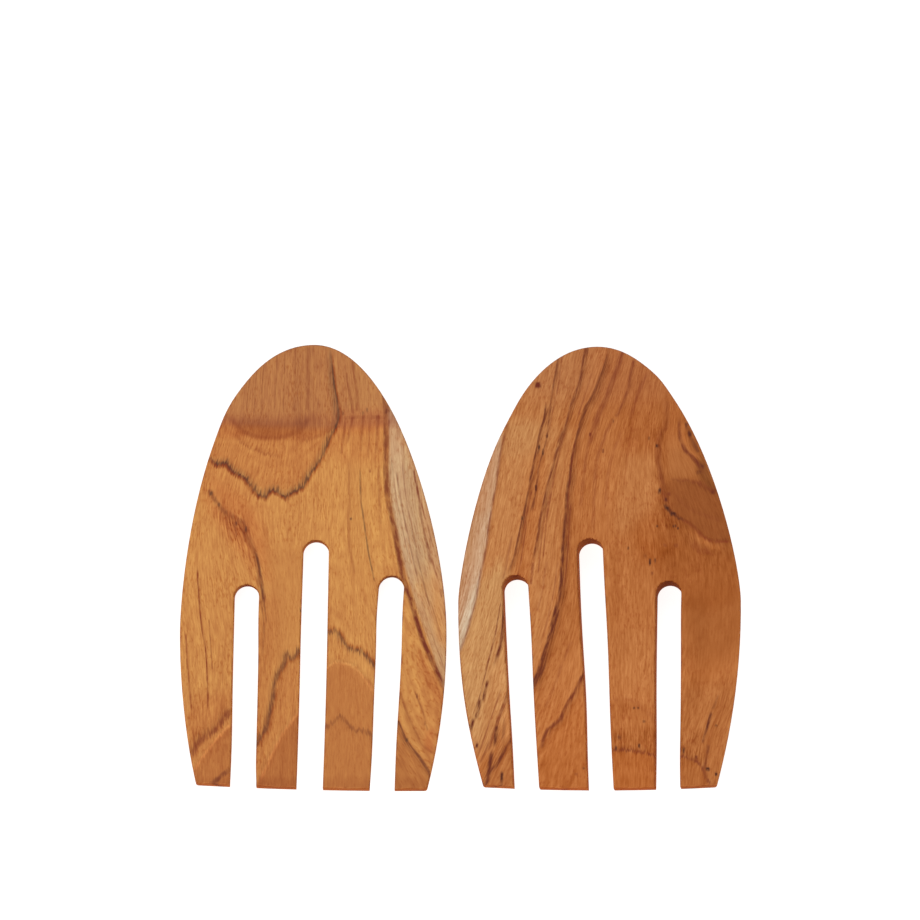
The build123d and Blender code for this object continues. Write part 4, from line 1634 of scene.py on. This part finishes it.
@dataclass(frozen=True)
class SaladHand:
    """One hand: its place in the frame, its shape and its wood.

    Fields: name, of its node and body; slot, not used; up, the face that looks up; figure; finish; bows of
    its sawn edges; land_length under the grip end; cell, the side of the fine mesh's squares; wall_cell,
    their height on a sawn wall; merge and cut_slack, how close points are to be one, and to be on a cut;
    crease_margin, left out beside the crease when the palm's arc is measured; ease_span, over which the
    sanded crease turns; broad_tilt and wall_tilt, the upright share of a normal past which a face is
    broad, and below which it is a wall; tip_span, the stretch from the tine tips in mm over which end
    grain darkens to its full, and tip_pale, how much paler it starts.
    """

    name: str
    slot: str
    up: Up
    figure: Figure
    finish: TeakFinish
    bows: tuple[Bow, ...]
    land_length: float = 31.8 * MM
    cell: float = 0.8 * MM
    wall_cell: float = 1.6 * MM
    merge: float = 0.002 * MM
    cut_slack: float = 0.0001 * MM
    crease_margin: float = 1.5 * MM
    ease_span: float = 3.0 * MM
    broad_tilt: float = math.cos(math.radians(25))
    wall_tilt: float = math.cos(math.radians(62))
    # Painted shade: end grain darkens in full away from the tine tips, in the shaded slots' ends, and less at
    # the tips, which get the light
    tip_span: tuple[float, float] = (2.0, 8.0)
    tip_pale: float = 0.7

    def _slice(self, shape: bmesh.types.BMesh, faces: list[bmesh.types.BMFace], axis: Vector,
               places: list[float]) -> None:
        """Cuts faces square to an axis, at the middle place first and then on each side of it.

        Args:
            shape: The shape to cut.
            faces: Its faces that reach over the places.
            axis: The direction to cut square to.
            places: Where to cut along the axis, in order.
        """
        if not places or not faces:
            return
        middle = len(places) // 2
        edges = dict.fromkeys(edge for face in faces for edge in face.edges)
        corners = dict.fromkeys(corner for face in faces for corner in face.verts)
        made = bmesh.ops.bisect_plane(shape, geom=[*corners, *edges, *faces], dist=self.cut_slack,
                                      plane_co=axis * places[middle], plane_no=axis)
        cut = [item for item in made["geom"] if isinstance(item, bmesh.types.BMFace)]
        beyond = [face.calc_center_median().dot(axis) > places[middle] for face in cut]
        for side, rest in ((False, places[:middle]), (True, places[middle + 1 :])):
            self._slice(shape, [face for face, far in zip(cut, beyond) if far is side], axis, rest)

    def _cut_copy(self) -> bpy.types.Mesh:
        """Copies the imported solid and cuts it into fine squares.

        Returns:
            The new mesh.
        """
        shape = bmesh.new()
        shape.from_mesh(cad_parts[self.name].data)
        bmesh.ops.remove_doubles(shape, verts=shape.verts, dist=self.merge)
        low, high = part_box(self.name)
        across, along, upright = Vector((1, 0, 0)), Vector((0, 1, 0)), Vector((0, 0, 1))
        for axis, cell in ((across, self.cell), (along, self.cell), (upright, self.wall_cell)):
            start, span = low.dot(axis), (high - low).dot(axis)
            count = round(span / cell)
            shape.normal_update()
            faces = [face for face in shape.faces if not axis.z or abs(face.normal.z) < self.wall_tilt]
            self._slice(shape, faces, axis, [start + span * k / count for k in range(1, count)])
        mesh = bpy.data.meshes.new(self.name)
        shape.to_mesh(mesh)
        shape.free()
        return mesh

    def _faces_by_kind(self, mesh: bpy.types.Mesh) -> FacePoints:
        """Sorts a mesh's points by the kind of face they lie on.

        Args:
            mesh: The mesh.

        Returns:
            The sorted points.
        """
        points, normals = read_all(mesh.vertices, "co", 3), read_all(mesh.polygons, "normal", 3)
        areas, totals = read_all(mesh.polygons, "area"), read_all(mesh.polygons, "loop_total", kind=int)
        corner = read_all(mesh.loops, "vertex_index", kind=int)
        face = np.repeat(np.arange(len(totals)), totals)
        tilt = normals[face, 2]
        on_wall = np.abs(tilt) < self.wall_tilt
        kinds = []
        for chosen in (tilt > self.broad_tilt, tilt < -self.broad_tilt, on_wall):
            kind = np.zeros(len(points), bool)
            kind[corner[chosen]] = True
            kinds.append(kind)
        side = np.zeros_like(points)
        np.add.at(side, corner[on_wall], (normals * areas[:, None])[face[on_wall]])
        near_zero = 1e-12
        side /= np.maximum(np.linalg.norm(side, axis=1, keepdims=True), near_zero)
        return FacePoints(points, *kinds, side)

    def build(self, groups: WoodGroups, view: PhotoView) -> bpy.types.Object:
        """Builds the hand, dresses it and puts it on its body.

        Args:
            groups: The shared node groups.
            view: The photograph's view, for the traced figure.

        Returns:
            The hand's object.
        """
        mesh = self._cut_copy()
        found = self._faces_by_kind(mesh)
        points = found.points
        low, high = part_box(self.name)
        crease = high.y - self.land_length
        palm_up = self.up is Up.PALM
        on_palm, on_back = (found.upper, found.lower) if palm_up else (found.lower, found.upper)
        land_height = high.z if palm_up else low.z
        hollow = on_palm & (points[:, 1] < crease - self.crease_margin)
        palm_arc = Arc.through(points[hollow, 1], points[hollow, 2])
        back_arc = Arc.through(points[on_back, 1], points[on_back, 2])

        def palm(along: np.ndarray) -> np.ndarray:
            """Gives the palm's height, with the land at the grip end."""
            return np.where(along > crease, land_height, palm_arc.height(along))

        top = palm if palm_up else back_arc.height
        points[on_palm, 2] = palm(points[on_palm, 1])
        points[on_back, 2] = back_arc.height(points[on_back, 1])
        strays = [bow.shifts(points[:, :2], view.on_surface(bow.place, top)) for bow in self.bows]
        points[:, 0] += np.sum(strays, axis=0)
        mesh.vertices.foreach_set("co", points.ravel())

        turn = self.ease_span
        normals = found.side.copy()
        way = self.up.value
        for kind, height, facing in ((on_palm, palm, way), (on_back, back_arc.height, -way)):
            along = points[kind, 1]
            slope = (height(along + turn) - height(along - turn)) / (2 * turn)
            tilted = np.column_stack((np.zeros_like(slope), -slope, np.ones_like(slope))) * facing
            normals[kind] = tilted / np.linalg.norm(tilted, axis=1, keepdims=True)

        self._store_figure(mesh, found, top, view)
        mesh.polygons.foreach_set("use_smooth", np.ones(len(mesh.polygons), bool))
        mesh.normals_split_custom_set_from_vertices(normals)
        mesh.materials.append(self.finish.make(groups))
        hand = bpy.data.objects.new(f"{self.name}_wood", mesh)
        bpy.context.scene.collection.objects.link(hand)
        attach(hand, self.name)
        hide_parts(self.name)
        LOG.info("%s: %d points, palm radius %.0f mm, back radius %.0f mm", hand.name, len(points),
                 palm_arc.radius / MM, back_arc.radius / MM)
        return hand

    def _store_figure(self, mesh: bpy.types.Mesh, found: FacePoints, top: Height, view: PhotoView) -> None:
        """Works out the wood's figure at each point and stores it as attributes.

        Args:
            mesh: The hand's mesh.
            found: Its points, sorted.
            top: Height of the upper face along the hand.
            view: The photograph's view.
        """
        points = found.points
        depth = (top(points[:, 1]) - points[:, 2]) / MM
        drift = np.array((self.figure.drift_across, self.figure.drift_along))
        marking = Marking(self.figure, view, top, points[:, :2] / MM + depth[:, None] * drift)
        stored, year = marking.growth()
        tones = marking.tones()
        only_wall = found.walls & ~(found.upper | found.lower)
        low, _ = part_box(self.name)
        # What darkens end grain: its own darker colour, with painted shade for the slots' ends; full beyond
        # tip_span from the tine tips, and tip_pale less at the tips, which get the light
        near_tip, past_tip = self.tip_span
        tip = 1 - self.tip_pale * ease(past_tip, near_tip, (points[:, 1] - low.y) / MM)
        stored["grain"] = np.column_stack((marking.grain(), marking.place[:, 1], depth))
        stored["tone"] = tones[:, :3]
        stored["growth"] = np.column_stack((tones[:, 3], year, tones[:, 4]))
        end_grain_and_slot_shade = only_wall * tip * found.side[:, 1] ** 2
        stored["cut"] = np.column_stack((only_wall, end_grain_and_slot_shade, np.zeros(len(points))))
        for name, rows in stored.items():
            attribute = mesh.attributes.new(name, "FLOAT_VECTOR", "POINT")
            attribute.data.foreach_set("vector", rows.astype(np.float32).ravel())


@dataclass(frozen=True)
class Panel:
    """A square soft light that faces the hands."""

    name: str
    place: Vector
    size: float
    power: float

    def hang(self) -> None:
        """Hangs the light in the scene."""
        data = bpy.data.lights.new(self.name, "AREA")
        data.shape = "SQUARE"
        data.size = self.size
        data.energy = self.power
        panel = bpy.data.objects.new(self.name, data)
        panel.location = self.place
        panel.rotation_euler = (-self.place).to_track_quat("-Z", "Y").to_euler()
        bpy.context.scene.collection.objects.link(panel)


@dataclass(frozen=True)
class Studio:
    """The pale floor and the soft light round the hands."""

    floor_size: float = 8.0
    floor_cells: int = 4
    floor_drop: float = 0.05 * MM
    floor_colour: Colour = (0.4, 0.4, 0.4)
    floor_roughness: float = 0.9
    floor_glow: float = 0.85
    white: Colour = (1, 1, 1)
    sky: float = 0.6
    panels: tuple[Panel, ...] = (
        Panel("front_panel", Vector((-0.5, -1.5, 1.6)), size=1.4, power=20.0),
        Panel("back_panel", Vector((0.2, 1.1, 1.8)), size=1.4, power=8.0),
    )

    def build(self) -> None:
        """Lays the floor and hangs the lights."""
        shape = bmesh.new()
        bmesh.ops.create_grid(shape, x_segments=self.floor_cells, y_segments=self.floor_cells,
                              size=self.floor_size / 2, matrix=Matrix.Translation((0, 0, -self.floor_drop)))
        mesh = bpy.data.meshes.new("floor")
        shape.to_mesh(mesh)
        shape.free()
        floor = bpy.data.objects.new("floor", mesh)
        material = bpy.data.materials.new("pale_floor")
        material.use_nodes = True
        shader = material.node_tree.nodes["Principled BSDF"]
        shader.inputs["Base Color"].default_value = (*self.floor_colour, 1)
        shader.inputs["Roughness"].default_value = self.floor_roughness
        shader.inputs["Specular IOR Level"].default_value = 0.0
        shader.inputs["Emission Color"].default_value = (*self.white, 1)
        shader.inputs["Emission Strength"].default_value = self.floor_glow
        mesh.materials.append(material)
        bpy.context.scene.collection.objects.link(floor)

        world = bpy.data.worlds.new("studio")
        world.use_nodes = True
        background = world.node_tree.nodes["Background"]
        background.inputs["Color"].default_value = (*self.white, 1)
        background.inputs["Strength"].default_value = self.sky
        bpy.context.scene.world = world
        for panel in self.panels:
            panel.hang()
        bpy.context.scene.view_settings.view_transform = "Standard"


LEFT_BOWS = (
    Bow((258, 615), shift=-0.4, along=14.0),
    Bow((232, 745), shift=0.35, along=22.0),
    Bow((256, 785), shift=0.4, along=6.0),
    Bow((325, 700), shift=0.4, along=50.0),
    Bow((301, 620), shift=-0.2, along=25.0),
    Bow((377, 612), shift=-0.45, along=12.0),
    Bow((401, 608), shift=-0.5, along=14.0),
    Bow((372, 755), shift=0.4, along=22.0),
    Bow((397, 745), shift=-0.4, along=25.0),
    Bow((228, 402), shift=-0.5, along=14.0, across=6.0),
    Bow((182, 690), shift=0.3, along=40.0, across=5.0),
)
RIGHT_BOWS = (
    Bow((532, 630), shift=0.4, along=20.0),
    Bow((508, 750), shift=0.35, along=18.0),
    Bow((584, 697), shift=0.75, along=26.0),
    Bow((607, 645), shift=0.55, along=28.0),
    Bow((680, 612), shift=-0.2, along=14.0),
    Bow((656, 745), shift=0.3, along=20.0),
    Bow((680, 762), shift=-0.3, along=16.0),
    Bow((510, 420), shift=0.4, along=14.0, across=6.0),
    Bow((657, 378), shift=0.5, along=8.0, across=6.0),
    Bow((464, 705), shift=-0.4, along=38.0, across=5.0),
)
HANDS = (
    SaladHand("left_hand", "left_teak", Up.PALM, LEFT_FIGURE, LEFT_TEAK, LEFT_BOWS),
    SaladHand("right_hand", "right_teak", Up.BACK, RIGHT_FIGURE, RIGHT_TEAK, RIGHT_BOWS),
)


def main() -> None:
    """Builds the hands, the floor, the light and the camera."""
    logging.basicConfig(level=logging.INFO, format="%(message)s")
    view = PhotoView()
    groups = WoodGroups()
    for hand in HANDS:
        piece = hand.build(groups, view)
        LOG.info("%s rides on %s", piece.name, hand.name)
    Studio().build()
    view.make_camera()


if __name__ == "__main__":
    main()
